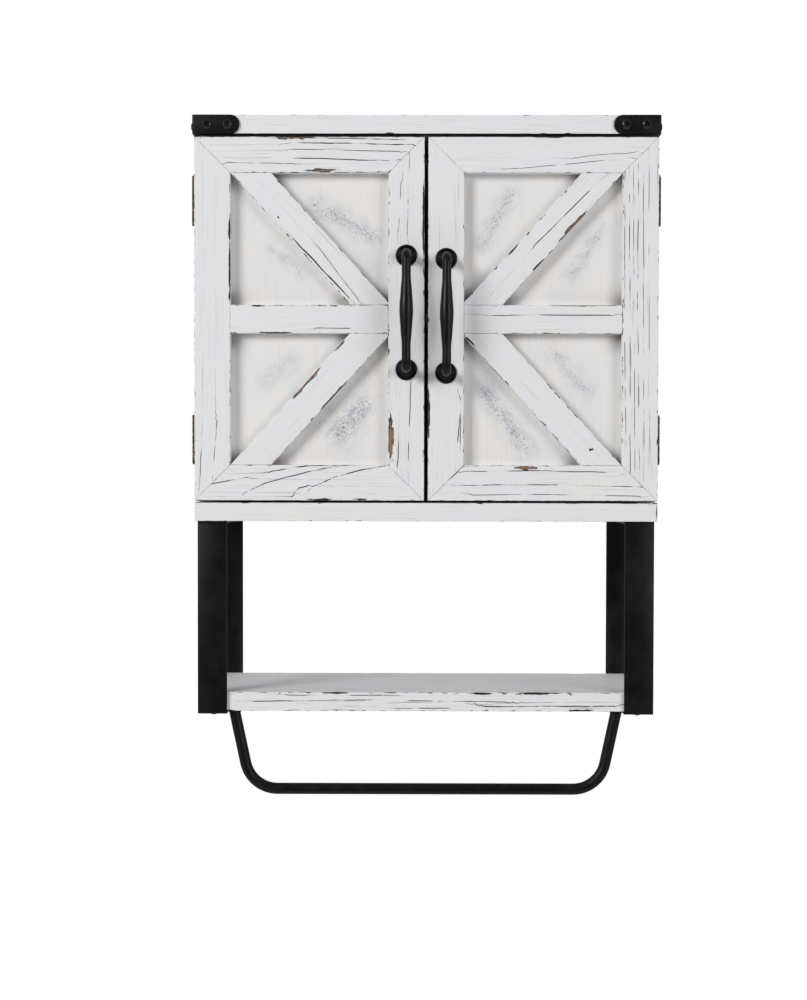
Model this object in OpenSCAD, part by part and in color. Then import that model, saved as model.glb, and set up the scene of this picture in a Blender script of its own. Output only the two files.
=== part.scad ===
// Hanging wall cabinet: a two-door case, two flat-bar hanger frames that carry
// an open shelf below it, and a bent towel bar under that shelf.
// Millimetres. X runs along the wall, Y runs into the wall, Z is up.
// The origin is midway between the two wall screws, on the wall plane.

/* [Case] */
// Width over the side panels
case_w = 490; // [380:1:700]
// Depth from the wall to the front of the top and bottom boards
case_d = 170; // [140:1:260]
// Clear height between the top and bottom boards
opening_h = 388; // [300:1:600]
// Thickness of the top and bottom boards
board_t = 20; // [18:0.5:28]
// Thickness of the side panels
side_t = 18; // [15:0.5:25]
// Thickness of the back panel
back_t = 5; // [3:0.5:8]
// How far the back panel reaches into its rebate
rebate_w = 9; // [6:0.5:12]
// Diameter of the dowels in the corner joints
dowel_d = 8; // [6:1:10]
// Depth of each dowel in the top or bottom board
dowel_sink = 12; // [8:1:14]
// Length of each dowel
dowel_l = 30; // [24:1:40]

/* [Wall fixing] */
// Height of the hanging rail
rail_h = 60; // [40:1:90]
// Thickness of the hanging rail
rail_t = 18; // [12:0.5:25]
// Distance between the two wall screws
wall_screw_spacing = 320; // [150:1:340]
// Diameter of the holes for the wall screws
wall_hole_d = 6; // [4.5:0.1:8]
// Diameter of the countersink at each wall hole
wall_sink_d = 11; // [9:0.5:14]

/* [Inner shelf] */
// Height of the shelf's underside above the bottom board
inner_shelf_level = 192; // [120:1:240]
// Thickness of the inner shelf
inner_shelf_t = 12; // [9:0.5:18]
// How far the inner shelf stays behind the doors
inner_shelf_set = 14; // [5:1:40]
// Diameter of the shelf pins
shelf_pin_d = 5; // [4:0.5:7]
// How far a shelf pin sticks out of the side panel
shelf_pin_out = 8; // [6:0.5:12]
// Distance between the rows of holes for the shelf pins
pin_pitch = 32; // [24:1:50]
// Number of hole rows above and below the shelf's row
pin_rows = 1; // [0:1:2]

/* [Doors] */
// Thickness of the framing boards
frame_t = 12; // [10:0.5:18]
// Thickness of the panel behind the framing
panel_t = 6; // [4:0.5:10]
// Width of the stiles and of the top and bottom rails
stile_w = 38; // [30:1:50]
// Width of the middle rail
mid_rail_w = 30; // [22:1:45]
// Width of the diagonal braces
brace_w = 32; // [20:1:40]
// How far above the middle rail a brace meets the inner stile
brace_rise = 3; // [0:0.5:12]
// Gap between the two doors
centre_gap = 4; // [2:0.5:6]
// Gap above the doors
top_gap = 2.5; // [1.5:0.5:5]
// Gap below the doors
bottom_gap = 1.5; // [1:0.5:5]
// Gap between the doors and the side panels
seat_gap = 2; // [1.5:0.1:3]

/* [Hinges] */
// Height of a hinge
hinge_h = 51; // [38:1:76]
// Distance from a door's end to the middle of its hinge
hinge_inset = 65; // [45:1:90]
// Width of a leaf from the pin's axis
leaf_w = 17; // [15:0.5:20]
// Thickness of a leaf
leaf_t = 1; // [0.8:0.1:1.2]
// Diameter of the knuckles
barrel_d = 4.6; // [4.2:0.1:6]
// Diameter of the hinge pin
pin_d = 2.5; // [2:0.1:2.6]
// Running clearance round the pin, on the radius
pin_clear = 0.05; // [0.02:0.01:0.1]
// Gap between neighbouring knuckles
knuckle_gap = 0.4; // [0.3:0.1:1]
// Gap between the knuckles and the wood
barrel_off = 0.2; // [0.1:0.1:1]
// Distance from the pin's axis to the leaf screws
leaf_screw_off = 10.5; // [9:0.5:12]
// Distance between the two screws of a leaf
leaf_screw_pitch = 34; // [24:1:60]

/* [Handles] */
// Distance between the centres of a handle's feet
handle_cc = 120; // [96:1:192]
// Diameter of a foot's rosette
rosette_d = 23; // [18:0.5:30]
// Height of a rosette
rosette_h = 5; // [3:0.5:8]
// Diameter of the posts and of the ends of the grip
post_d = 9.4; // [8:0.1:11]
// Diameter of the grip at its shoulders
shoulder_d = 12.2; // [10:0.1:16]
// Diameter of the grip at its middle
grip_d = 14.4; // [11:0.1:20]
// Length of the grip between its shoulders
barrel_l = 34; // [24:1:80]
// Length of the taper from a shoulder down to the neck
shoulder_l = 20; // [5:1:30]
// Distance from the door to the axis of the grip
standoff = 30; // [26:0.5:45]
// Radius of the elbows on their centreline
elbow_r = 9; // [7:0.5:12]
// How far the left handle sits above the middle of its door
left_handle_lift = 7; // [-40:0.5:40]
// How far the right handle sits above the middle of its door
right_handle_lift = 3.5; // [-40:0.5:40]

/* [Corner straps] */
// Length of each leg of a corner strap
strap_leg = 50; // [40:1:70]
// Thickness of a corner strap
strap_t = 2; // [1.5:0.1:3]
// How much narrower than the board's edge a strap is
strap_inset = 0; // [0:0.5:3]
// Distance from the corner to the first screw
strap_screw_near = 15.5; // [14:0.5:20]
// Distance between the two screws of a leg
strap_screw_pitch = 21.5; // [15:0.5:25]

/* [Hanger frames] */
// Width of the flat bar
bar_w = 31; // [20:1:45]
// Thickness of the flat bar
bar_t = 3; // [2:0.5:5]
// Height of a hanger frame
hanger_h = 206; // [120:1:320]
// How far the frames stay behind the front of the case
hanger_set = 5; // [0:1:20]
// How far the frames stay inside the ends of the case
hanger_side_set = 2.5; // [0:0.5:20]
// Distance from a frame's front or rear face to its screws
hanger_screw_set = 14; // [10:1:25]

/* [Lower shelf] */
// Thickness of the lower shelf
lower_shelf_t = 20; // [18:0.5:28]
// Gap between the lower shelf and the legs of the frames
shelf_clear = 0.4; // [0.2:0.1:2]

/* [Towel bar] */
// Diameter of the rod
rod_d = 12; // [8:0.5:14]
// Distance from the shelf's underside to the middle of the bar
bar_drop = 85.5; // [60:0.5:140]
// Angle that the arms lean inwards
arm_lean = 12; // [0:1:25]
// Radius of the bends on the rod's centreline
bend_r = 35; // [20:1:50]
// Distance from the shelf's front edge to the middle of the rod
rod_set = 12; // [8:1:60]
// Gap between the rod's ends and the hanger frames
rod_clear = 0.3; // [0.3:0.1:10]
// Width of the foot plates
foot_w = 14; // [12:0.5:20]
// Length of the foot plates
foot_l = 44; // [36:1:60]
// Thickness of the foot plates
foot_t = 2; // [1.5:0.1:4]

/* [Catches] */
// Distance from the middle of the case to each catch
catch_x = 26; // [24:1:60]
// Width over a catch's two ears
catch_w = 42; // [34:1:46]
// Width of a catch's housing
catch_body_w = 24; // [16:1:28]
// Height of a catch's housing
catch_h = 12; // [9:0.5:16]
// Depth of a catch
catch_d = 15; // [12:1:25]
// Thickness of a catch's ears
catch_ear_t = 3; // [2:0.5:4]
// Gap between a catch and its strike plate
catch_gap = 0.4; // [0.3:0.1:1]
// Thickness of a strike plate
strike_t = 0.8; // [0.6:0.1:1.2]

/* [Screws] */
// Radial clearance of a fastener in its hole
screw_clear = 0.1; // [0.05:0.05:0.3]
// Shank diameter of the screws in the straps, frames and foot plates
screw_d = 3.5; // [3:0.1:4]
// Head diameter of the strap screws
strap_head_d = 11; // [9:0.5:14]
// Head diameter of the hanger and foot screws
pan_head_d = 9; // [7:0.5:9.5]
// Shank diameter of the leaf, catch and strike screws
small_screw_d = 2.4; // [2:0.1:3]
// Head diameter of the leaf screws
small_head_d = 4.4; // [4:0.1:5]
// Diameter of the handle screws
handle_screw_d = 4; // [3:0.5:5]
// Diameter of the nails in the back panel
nail_d = 1.4; // [1:0.1:2]

/* [Hidden] */
$fn = 48;
EPS = 0.01;

WOOD = "#DFDFE0";
PANEL = "#D6D3CE";
BLACK = "#1B1B1C";
BRONZE = "#5A5040";
STEEL = "#9A9A9C";
BEECH = "#C8A880";

LEFT = -1;
RIGHT = 1;
SIDES = [LEFT, RIGHT];

// Heights, from the wall screws at zero
rail_top = rail_h / 2;
case_top = rail_top + board_t;
bottom_top = rail_top - opening_h;
case_bottom = bottom_top - board_t;
inner_x = case_w / 2 - side_t;

// Doors: everything is worked out for the right one, and the left one mirrors it
door_t = frame_t + panel_t;
door_hi = rail_top - top_gap;
door_lo = bottom_top + bottom_gap;
door_h = door_hi - door_lo;
door_mid = (door_hi + door_lo) / 2;
door_in = centre_gap / 2;
door_out = case_w / 2;
door_back = door_t - case_d;
side_front = door_back + seat_gap;

// The field inside a door's stiles and rails, above or below the middle rail
field_w = door_out - door_in - 2 * stile_w;
field_h = (door_h - 2 * stile_w - mid_rail_w) / 2;
brace_fall = field_h - brace_rise;
brace_angle = atan2(brace_fall, field_w) + asin(brace_w / norm([field_w, brace_fall]));
brace_outline = [
    [0, 0], [brace_w / sin(brace_angle), 0], [field_w, brace_fall],
    [field_w, field_h], [field_h / tan(brace_angle), field_h]
];

// Hinges
hinge_x = case_w / 2 + barrel_off + barrel_d / 2;
hinge_y = door_back + seat_gap / 2;
hinge_zs = [door_hi - hinge_inset, door_lo + hinge_inset];
knuckles = 5;
knuckle_h = hinge_h / knuckles;
leaf_screw_l = 12;
leaf_screw_zs = [for (zc = hinge_zs, t = [-0.5, 0.5]) zc + t * leaf_screw_pitch];

// Handles
handle_x = door_in + stile_w / 2;
handle_screw_sink = 8;
handle_head_d = 8;
handle_head_h = 1.6;

// Corner straps
strap_w = board_t - 2 * strap_inset;
strap_z = rail_top + board_t / 2;
strap_corner = [case_w / 2 + strap_t, -case_d - strap_t];
strap_screw_offs = [strap_screw_near, strap_screw_near + strap_screw_pitch];
strap_screw_l = 12;
strap_head_h = 2.6;

// Hanger frames and the shelf that they carry
hanger_out = case_w / 2 - hanger_side_set;
hanger_in = hanger_out - bar_w;
hanger_front = hanger_set - case_d;
hanger_bottom = case_bottom - hanger_h;
hanger_screw_ys = [hanger_front + hanger_screw_set, -hanger_screw_set];
hanger_x = (hanger_out + hanger_in) / 2;
hanger_screw_l = 16;
pan_head_h = 2.2;
shelf_low = hanger_bottom + bar_t;
shelf_top = shelf_low + lower_shelf_t;
shelf_front = hanger_front + bar_t + shelf_clear;
shelf_back = -bar_t - shelf_clear;

// Towel bar: the arm's foot, the point where arm and bar would meet, and the bend
rod_y = shelf_front + rod_set;
foot_x = hanger_in - rod_clear - rod_d / 2 / cos(arm_lean);
bar_z = shelf_low - bar_drop;
meet_x = foot_x - (bar_drop - foot_t / 2) * tan(arm_lean);
turn = 90 - arm_lean;
bend_x = meet_x - bend_r * tan(turn / 2);
bend_steps = 9;
rod_sides = 24;
foot_margin = 1;
foot_front = rod_y - rod_d / 2 - foot_margin;
foot_screw_set = 7;
foot_screw_pitch = 14;
foot_back = foot_front + foot_l;
foot_screw_ys = [foot_back - foot_screw_set, foot_back - foot_screw_set - foot_screw_pitch];
foot_screw_l = 14;
foot_head_d = 7;
foot_head_h = 1.8;
foot_mid_x = hanger_in - rod_clear - foot_w / 2;

// Inner shelf and its pins
inner_shelf_z = bottom_top + inner_shelf_level;
inner_shelf_front = door_back + inner_shelf_set;
inner_shelf_side_gap = 1;
inner_shelf_back_gap = 1;
shelf_pin_z = inner_shelf_z - shelf_pin_d / 2;
shelf_pin_set = 22;
shelf_pin_ys = [inner_shelf_front + shelf_pin_set, -back_t - shelf_pin_set];
shelf_pin_sink = 9;

// Dowels of the corner joints and of the rail's ends
dowel_set = 36;
dowel_x = case_w / 2 - side_t / 2;
dowel_ys = [side_front + dowel_set, -dowel_set];
rail_dowel_d = 6;
rail_dowel_l = 24;
rail_dowel_zs = [-rail_h / 4, rail_h / 4];
rail_y = -back_t - rail_t / 2;

// Back panel and its nails
back_gap = 0.3;
back_x = inner_x + rebate_w - back_gap;
back_hi = rail_top + rebate_w - back_gap;
back_lo = bottom_top - rebate_w + back_gap;
nail_l = 15;
nail_head_d = 3;
nail_head_h = 0.6;
nail_inset = rebate_w / 2;
nail_steps = 4;
nail_span = opening_h - 2 * rail_h;
nail_places = [
    for (s = SIDES, i = [0 : nail_steps - 1])
        [s * (inner_x + nail_inset), 0, rail_top - rail_h - i * nail_span / (nail_steps - 1)]
];

// Catches
catch_front = door_back + strike_t + catch_gap;
catch_ear_set = 1;
catch_screw_x = (catch_w + catch_body_w) / 4;
catch_screw_l = 12;
catch_head_d = 5;
catch_head_h = 1.4;
strike_w = 24;
strike_h = 11;
strike_drop = 1;
strike_z = door_hi - strike_drop - strike_h / 2;
strike_screw_l = 8;

// ---------------------------------------------------------------- helpers

// Turns a shape that points up so that it points to the named side
module facing(side) {
    turned = side == "front" ? [90, 0, 0]
        : side == "back" ? [-90, 0, 0]
        : side == "right" ? [0, 90, 0]
        : side == "left" ? [0, -90, 0]
        : side == "down" ? [180, 0, 0]
        : [0, 0, 0];
    rotate(turned) children();
}

// The right-hand shape, or its mirror image for the left
module on_side(s) {
    if (s == RIGHT) children();
    else mirror([1, 0, 0]) children();
}

// A box between two corners
module block(lo, hi) {
    translate(lo) cube(hi - lo);
}

// A flat piece drawn in the XZ plane, from y_front towards the wall
module front_slab(outline, y_front, thickness) {
    translate([0, y_front + thickness, 0])
        rotate([90, 0, 0]) linear_extrude(thickness) polygon(outline);
}

// A hole going down from z = 0
module hole(d, depth) {
    translate([0, 0, -depth]) cylinder(d = d + 2 * screw_clear, h = depth + 1);
}

// A domed screw head with a cross recess, sitting on z = 0
module pan_head(d, h) {
    rim_share = 0.25;
    dome_r = (d * d / 4 + h * h) / (2 * h);
    slot_w = d * 0.14;
    slot_l = d * 0.52;
    slot_floor = h * 0.4;
    difference() {
        intersection() {
            cylinder(d = d, h = h);
            translate([0, 0, h * (1 + rim_share) - dome_r]) sphere(r = dome_r);
        }
        for (a = [0, 90]) rotate(a)
            translate([-slot_l / 2, -slot_w / 2, slot_floor]) cube([slot_l, slot_w, h]);
    }
}

// A shank with a point, going down from z = 0
module shank(d, l) {
    point = d * 1.2;
    tip_d = d * 0.2;
    translate([0, 0, point - l]) cylinder(d = d, h = l - point + EPS);
    translate([0, 0, -l]) cylinder(d1 = tip_d, d2 = d, h = point);
}

module pan_screw(head_d, head_h, d, l) {
    union() {
        pan_head(head_d, head_h);
        shank(d, l);
    }
}

// A countersunk screw whose head fills a plate of thickness t, flush with z = 0
module flush_screw(head_d, t, d, l) {
    union() {
        translate([0, 0, -t]) cylinder(d1 = d, d2 = head_d, h = t);
        shank(d, l);
    }
}

// ---------------------------------------------------------------- fastener places

module at_strap_screws() {
    for (s = SIDES) on_side(s) {
        for (off = strap_screw_offs) {
            translate([strap_corner.x - off, strap_corner.y, strap_z]) facing("front") children();
            translate([strap_corner.x, strap_corner.y + off, strap_z]) facing("right") children();
        }
    }
}

module at_hanger_screws(z, side) {
    for (s = SIDES, y = hanger_screw_ys) translate([s * hanger_x, y, z]) facing(side) children();
}

module at_foot_screws() {
    for (s = SIDES, y = foot_screw_ys)
        translate([s * foot_mid_x, y, shelf_low - foot_t]) facing("down") children();
}

module at_leaf_screws(y_dir) {
    for (z = leaf_screw_zs)
        translate([case_w / 2 + leaf_t, hinge_y + y_dir * leaf_screw_off, z])
            facing("right") children();
}

module at_catch_screws() {
    for (s = SIDES, t = SIDES)
        translate([s * catch_x + t * catch_screw_x, catch_front + catch_d / 2, rail_top - catch_ear_t])
            facing("down") children();
}

module at_handle_screws(lift) {
    for (t = SIDES)
        translate([handle_x, door_back, door_mid + lift + t * handle_cc / 2])
            facing("back") children();
}

module at_strike_screw() {
    translate([catch_x, door_back + strike_t, strike_z]) facing("back") children();
}

module at_wall_screws() {
    for (s = SIDES) translate([s * wall_screw_spacing / 2, 0, 0]) children();
}

// A dowel's axis at each corner joint, with its board end on the positive side
module at_case_dowels() {
    for (s = SIDES, y = dowel_ys) {
        translate([s * dowel_x, y, rail_top]) children();
        translate([s * dowel_x, y, bottom_top]) mirror([0, 0, 1]) children();
    }
}

module at_rail_dowels() {
    for (s = SIDES, z = rail_dowel_zs) translate([s * inner_x, rail_y, z]) facing("right") children();
}

module dowel_room() {
    room_d = dowel_d + 2 * screw_clear;
    translate([0, 0, dowel_sink - dowel_l - screw_clear]) cylinder(d = room_d, h = dowel_l + 2 * screw_clear);
}

module rail_dowel_room() {
    room_d = rail_dowel_d + 2 * screw_clear;
    room_l = rail_dowel_l + 2 * screw_clear;
    translate([0, 0, -room_l / 2]) cylinder(d = room_d, h = room_l);
}

// ---------------------------------------------------------------- case

// The rebate for the back panel, cut from boards and side panels alike
module back_rebate() {
    block([-inner_x - rebate_w, -back_t, bottom_top - rebate_w],
          [inner_x + rebate_w, 1, rail_top + rebate_w]);
}

module top_board() {
    color(WOOD) difference() {
        block([-case_w / 2, -case_d, rail_top], [case_w / 2, 0, case_top]);
        back_rebate();
        at_case_dowels() dowel_room();
        at_strap_screws() hole(screw_d, strap_screw_l);
        at_catch_screws() hole(small_screw_d, catch_screw_l);
    }
}

module bottom_board() {
    color(WOOD) difference() {
        block([-case_w / 2, -case_d, case_bottom], [case_w / 2, 0, bottom_top]);
        back_rebate();
        at_case_dowels() dowel_room();
        at_hanger_screws(case_bottom - bar_t, "down") hole(screw_d, hanger_screw_l);
    }
}

module side_panel(s) {
    color(WOOD) difference() {
        on_side(s) block([inner_x, side_front, bottom_top], [case_w / 2, 0, rail_top]);
        back_rebate();
        at_case_dowels() dowel_room();
        at_rail_dowels() rail_dowel_room();
        on_side(s) at_leaf_screws(1) hole(small_screw_d, leaf_screw_l);
        for (y = shelf_pin_ys, row = [-pin_rows : pin_rows])
            on_side(s) translate([inner_x, y, shelf_pin_z + row * pin_pitch])
                facing("left") hole(shelf_pin_d, shelf_pin_sink);
        for (p = nail_places) translate(p) facing("back") hole(nail_d, nail_l);
    }
}

module back_panel() {
    color(PANEL) difference() {
        block([-back_x, -back_t, back_lo], [back_x, 0, back_hi]);
        at_wall_screws() facing("back") translate([0, 0, -back_t - 1])
            cylinder(d = wall_hole_d, h = back_t + 2);
        for (p = nail_places) translate(p) facing("back") {
            hole(nail_d, nail_l);
            hole(nail_head_d, nail_head_h);
        }
    }
}

module back_panel_nails() {
    color(STEEL) for (p = nail_places) translate(p) facing("back") union() {
        translate([0, 0, -nail_head_h]) cylinder(d = nail_head_d, h = nail_head_h);
        shank(nail_d, nail_l);
    }
}

module case_dowels() {
    color(BEECH) {
        at_case_dowels() translate([0, 0, dowel_sink - dowel_l]) cylinder(d = dowel_d, h = dowel_l);
        at_rail_dowels() translate([0, 0, -rail_dowel_l / 2])
            cylinder(d = rail_dowel_d, h = rail_dowel_l);
    }
}

module hanging_rail() {
    sink_h = (wall_sink_d - wall_hole_d) / 2;
    color(WOOD) difference() {
        block([-inner_x, -back_t - rail_t, -rail_h / 2], [inner_x, -back_t, rail_top]);
        at_wall_screws() facing("front") {
            translate([0, 0, back_t - 1]) cylinder(d = wall_hole_d, h = rail_t + 2);
            translate([0, 0, back_t + rail_t - sink_h])
                cylinder(d1 = wall_hole_d, d2 = wall_sink_d + 2 * EPS, h = sink_h + EPS);
        }
        at_rail_dowels() rail_dowel_room();
    }
}

module inner_shelf() {
    x = inner_x - inner_shelf_side_gap;
    color(WOOD) block([-x, inner_shelf_front, inner_shelf_z],
                      [x, -back_t - inner_shelf_back_gap, inner_shelf_z + inner_shelf_t]);
}

module shelf_pins() {
    sunk = shelf_pin_sink - screw_clear;
    color(STEEL) for (s = SIDES, y = shelf_pin_ys) on_side(s)
        translate([inner_x - shelf_pin_out, y, shelf_pin_z]) facing("right")
            cylinder(d = shelf_pin_d, h = shelf_pin_out + sunk);
}

// ---------------------------------------------------------------- corner straps

// One leg, flat on z = 0, from the corner at x = 0 to a rounded end. The end's radius is a
// little over half the width, so that the round meets the sides inside the leg.
module strap_leg_plate() {
    end_share = 0.51;
    end_r = strap_w * end_share;
    difference() {
        union() {
            translate([0, -strap_w / 2, 0]) cube([strap_leg - end_r, strap_w, strap_t]);
            intersection() {
                translate([strap_leg - end_r, -strap_w / 2, 0]) cube([end_r, strap_w, strap_t]);
                translate([strap_leg - end_r, 0, 0]) cylinder(r = end_r, h = strap_t);
            }
        }
        for (off = strap_screw_offs)
            translate([off, 0, -1]) cylinder(d = screw_d + 2 * screw_clear, h = strap_t + 2);
    }
}

module corner_strap(s) {
    color(BLACK) on_side(s) union() {
        translate([strap_corner.x, strap_corner.y + strap_t, strap_z])
            rotate([90, 0, 0]) mirror([1, 0, 0]) strap_leg_plate();
        translate([strap_corner.x - strap_t, strap_corner.y, strap_z])
            rotate([90, 0, 90]) strap_leg_plate();
    }
}

module corner_strap_screws() {
    color(BLACK) at_strap_screws() pan_screw(strap_head_d, strap_head_h, screw_d, strap_screw_l);
}

// ---------------------------------------------------------------- catches

module magnetic_catches() {
    back = catch_front + catch_d;
    color(STEEL) difference() {
        for (s = SIDES) translate([s * catch_x, 0, 0]) union() {
            block([-catch_w / 2, catch_front + catch_ear_set, rail_top - catch_ear_t],
                  [catch_w / 2, back, rail_top]);
            block([-catch_body_w / 2, catch_front, rail_top - catch_h], [catch_body_w / 2, back, rail_top]);
        }
        at_catch_screws() hole(small_screw_d, catch_screw_l);
    }
}

module catch_screws() {
    color(STEEL) at_catch_screws()
        pan_screw(catch_head_d, catch_head_h, small_screw_d, catch_screw_l);
}

module strike_plate(s) {
    color(STEEL) on_side(s) difference() {
        block([catch_x - strike_w / 2, door_back, strike_z - strike_h / 2],
              [catch_x + strike_w / 2, door_back + strike_t, strike_z + strike_h / 2]);
        at_strike_screw() translate([0, 0, -strike_t - EPS]) cylinder(
            d1 = small_screw_d + 2 * screw_clear, d2 = small_head_d + 2 * screw_clear,
            h = strike_t + 2 * EPS);
    }
}

// ---------------------------------------------------------------- hanger frames and shelf

module hanger_frame(s) {
    color(BLACK) difference() {
        on_side(s) block([hanger_in, hanger_front, hanger_bottom], [hanger_out, 0, case_bottom]);
        on_side(s) block([hanger_in - 1, hanger_front + bar_t, hanger_bottom + bar_t],
                         [hanger_out + 1, -bar_t, case_bottom - bar_t]);
        at_hanger_screws(case_bottom - bar_t, "down") hole(screw_d, bar_t + 1);
        at_hanger_screws(hanger_bottom, "down") hole(screw_d, bar_t + 1);
    }
}

module hanger_top_screws() {
    color(BLACK) at_hanger_screws(case_bottom - bar_t, "down")
        pan_screw(pan_head_d, pan_head_h, screw_d, hanger_screw_l);
}

module hanger_shelf_screws() {
    color(BLACK) at_hanger_screws(hanger_bottom, "down")
        pan_screw(pan_head_d, pan_head_h, screw_d, hanger_screw_l);
}

module lower_shelf() {
    color(WOOD) difference() {
        block([-hanger_out, shelf_front, shelf_low], [hanger_out, shelf_back, shelf_top]);
        at_hanger_screws(hanger_bottom, "down") hole(screw_d, hanger_screw_l);
        at_foot_screws() hole(screw_d, foot_screw_l);
    }
}

// ---------------------------------------------------------------- towel bar

// One ring of the rod round p, wide along u in the XZ plane
function rod_ring(p, u) = [
    for (i = [0 : rod_sides - 1])
        let (t = 360 * i / rod_sides, w = rod_d / 2 * cos(t))
            [p.x + w * u.x, rod_y + rod_d / 2 * sin(t), p.y + w * u.y]
];

// The bent rod as rings from the left foot to the right one, each foot cut level
module rod() {
    angles = [for (i = [0 : bend_steps]) -90 + turn * i / bend_steps];
    foot = [foot_x, shelf_low - foot_t / 2];
    half = concat(
        [for (a = angles) [[bend_x, bar_z + bend_r] + bend_r * [cos(a), sin(a)], [cos(a), sin(a)]]],
        [[foot, [1 / cos(arm_lean), 0]]]
    );
    last = len(half) - 1;
    route = concat([for (i = [last : -1 : 0]) [for (v = half[i]) [-v.x, v.y]]], half);
    rings = len(route);
    polyhedron(
        points = [for (stop = route) each rod_ring(stop[0], stop[1])],
        faces = concat(
            [[for (i = [0 : rod_sides - 1]) i]],
            [[for (i = [rod_sides - 1 : -1 : 0]) (rings - 1) * rod_sides + i]],
            [for (k = [0 : rings - 2], i = [0 : rod_sides - 1])
                let (a = k * rod_sides + i, b = k * rod_sides + (i + 1) % rod_sides)
                    [b, a, a + rod_sides, b + rod_sides]]
        )
    );
}

module foot_plate() {
    block([foot_mid_x - foot_w / 2, foot_front, shelf_low - foot_t],
          [foot_mid_x + foot_w / 2, foot_front + foot_l, shelf_low]);
}

module towel_bar() {
    color(BLACK) difference() {
        union() {
            rod();
            for (s = SIDES) on_side(s) foot_plate();
        }
        at_foot_screws() hole(screw_d, foot_screw_l);
    }
}

module towel_bar_screws() {
    color(BLACK) at_foot_screws() pan_screw(foot_head_d, foot_head_h, screw_d, foot_screw_l);
}

// ---------------------------------------------------------------- hinges

// A leaf lies on the wood towards y_dir and owns every second knuckle from first
module leaf(s, zc, y_dir, first) {
    plate_y = barrel_d / 2 + knuckle_gap;
    y_near = hinge_y + y_dir * plate_y;
    y_far = hinge_y + y_dir * leaf_w;
    color(BRONZE) on_side(s) difference() {
        union() {
            block([case_w / 2, min(y_near, y_far), zc - hinge_h / 2],
                  [case_w / 2 + leaf_t, max(y_near, y_far), zc + hinge_h / 2]);
            for (i = [first : 2 : knuckles - 1]) {
                z_lo = zc - hinge_h / 2 + i * knuckle_h + knuckle_gap / 2;
                z_hi = z_lo + knuckle_h - knuckle_gap;
                block([case_w / 2, min(hinge_y, y_near), z_lo],
                      [case_w / 2 + leaf_t, max(hinge_y, y_near), z_hi]);
                translate([hinge_x, hinge_y, z_lo]) cylinder(d = barrel_d, h = z_hi - z_lo);
            }
        }
        translate([hinge_x, hinge_y, zc - hinge_h])
            cylinder(d = pin_d + 2 * pin_clear, h = 2 * hinge_h);
        at_leaf_screws(y_dir) translate([0, 0, -leaf_t - EPS]) cylinder(
            d1 = small_screw_d + 2 * screw_clear, d2 = small_head_d + 2 * screw_clear,
            h = leaf_t + 2 * EPS);
    }
}

// The pin, with a low button at each end
module hinge_pin(s, zc) {
    button_h = 1;
    button_step = 0.2;
    button_d = barrel_d - 2 * button_step;
    color(BRONZE) on_side(s) translate([hinge_x, hinge_y, zc]) union() {
        translate([0, 0, -hinge_h / 2]) cylinder(d = pin_d, h = hinge_h);
        translate([0, 0, hinge_h / 2]) cylinder(d = button_d, h = button_h);
        translate([0, 0, -hinge_h / 2 - button_h]) cylinder(d = button_d, h = button_h);
    }
}

module leaf_screw() {
    flush_screw(small_head_d, leaf_t, small_screw_d, leaf_screw_l);
}

module case_leaf_screws() {
    color(BRONZE) for (s = SIDES) on_side(s) at_leaf_screws(1) leaf_screw();
}

module door_screws(s) {
    color(BRONZE) on_side(s) {
        at_leaf_screws(-1) leaf_screw();
        at_strike_screw() flush_screw(small_head_d, strike_t, small_screw_d, strike_screw_l);
    }
}

// ---------------------------------------------------------------- doors

module door_panel(s, lift) {
    color(PANEL) on_side(s) difference() {
        block([door_in, -case_d + frame_t, door_lo], [door_out, door_back, door_hi]);
        at_handle_screws(lift) hole(handle_screw_d, door_t + 1);
        at_strike_screw() hole(small_screw_d, strike_screw_l);
    }
}

module framing(outline) {
    front_slab(outline, -case_d, frame_t);
}

module outer_stile(s) {
    color(WOOD) on_side(s) difference() {
        framing([[door_out, door_lo], [door_out, door_hi],
                 [door_out - stile_w, door_hi - stile_w], [door_out - stile_w, door_lo + stile_w]]);
        at_leaf_screws(-1) hole(small_screw_d, leaf_screw_l);
    }
}

module inner_stile(s, lift) {
    color(WOOD) on_side(s) difference() {
        framing([[door_in, door_lo], [door_in, door_hi],
                 [door_in + stile_w, door_hi - stile_w], [door_in + stile_w, door_lo + stile_w]]);
        at_handle_screws(lift) hole(handle_screw_d, door_t + 1);
    }
}

module top_rail(s) {
    color(WOOD) on_side(s) difference() {
        framing([[door_in, door_hi], [door_out, door_hi],
                 [door_out - stile_w, door_hi - stile_w], [door_in + stile_w, door_hi - stile_w]]);
        at_strike_screw() hole(small_screw_d, strike_screw_l);
    }
}

module bottom_rail(s) {
    color(WOOD) on_side(s)
        framing([[door_in, door_lo], [door_out, door_lo],
                 [door_out - stile_w, door_lo + stile_w], [door_in + stile_w, door_lo + stile_w]]);
}

module mid_rail(s) {
    x_lo = door_in + stile_w;
    x_hi = door_out - stile_w;
    z_lo = door_mid - mid_rail_w / 2;
    z_hi = door_mid + mid_rail_w / 2;
    color(WOOD) on_side(s) framing([[x_lo, z_lo], [x_hi, z_lo], [x_hi, z_hi], [x_lo, z_hi]]);
}

// From the outer corner of a field down, or up, to the foot of the inner stile
module brace(s, up) {
    z_corner = up ? door_hi - stile_w : door_lo + stile_w;
    z_dir = up ? -1 : 1;
    color(WOOD) on_side(s)
        framing([for (p = brace_outline) [door_out - stile_w - p.x, z_corner + z_dir * p.y]]);
}

// ---------------------------------------------------------------- handles

// Half of the grip's outline from its middle up: barrel, long tapered shoulder and neck
function grip_r(t) = shoulder_d / 2 + (grip_d - shoulder_d) / 2 * cos(90 * t);
function shoulder_r(t) = post_d / 2 + (shoulder_d - post_d) / 2 * (1 + cos(180 * t)) / 2;

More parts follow.
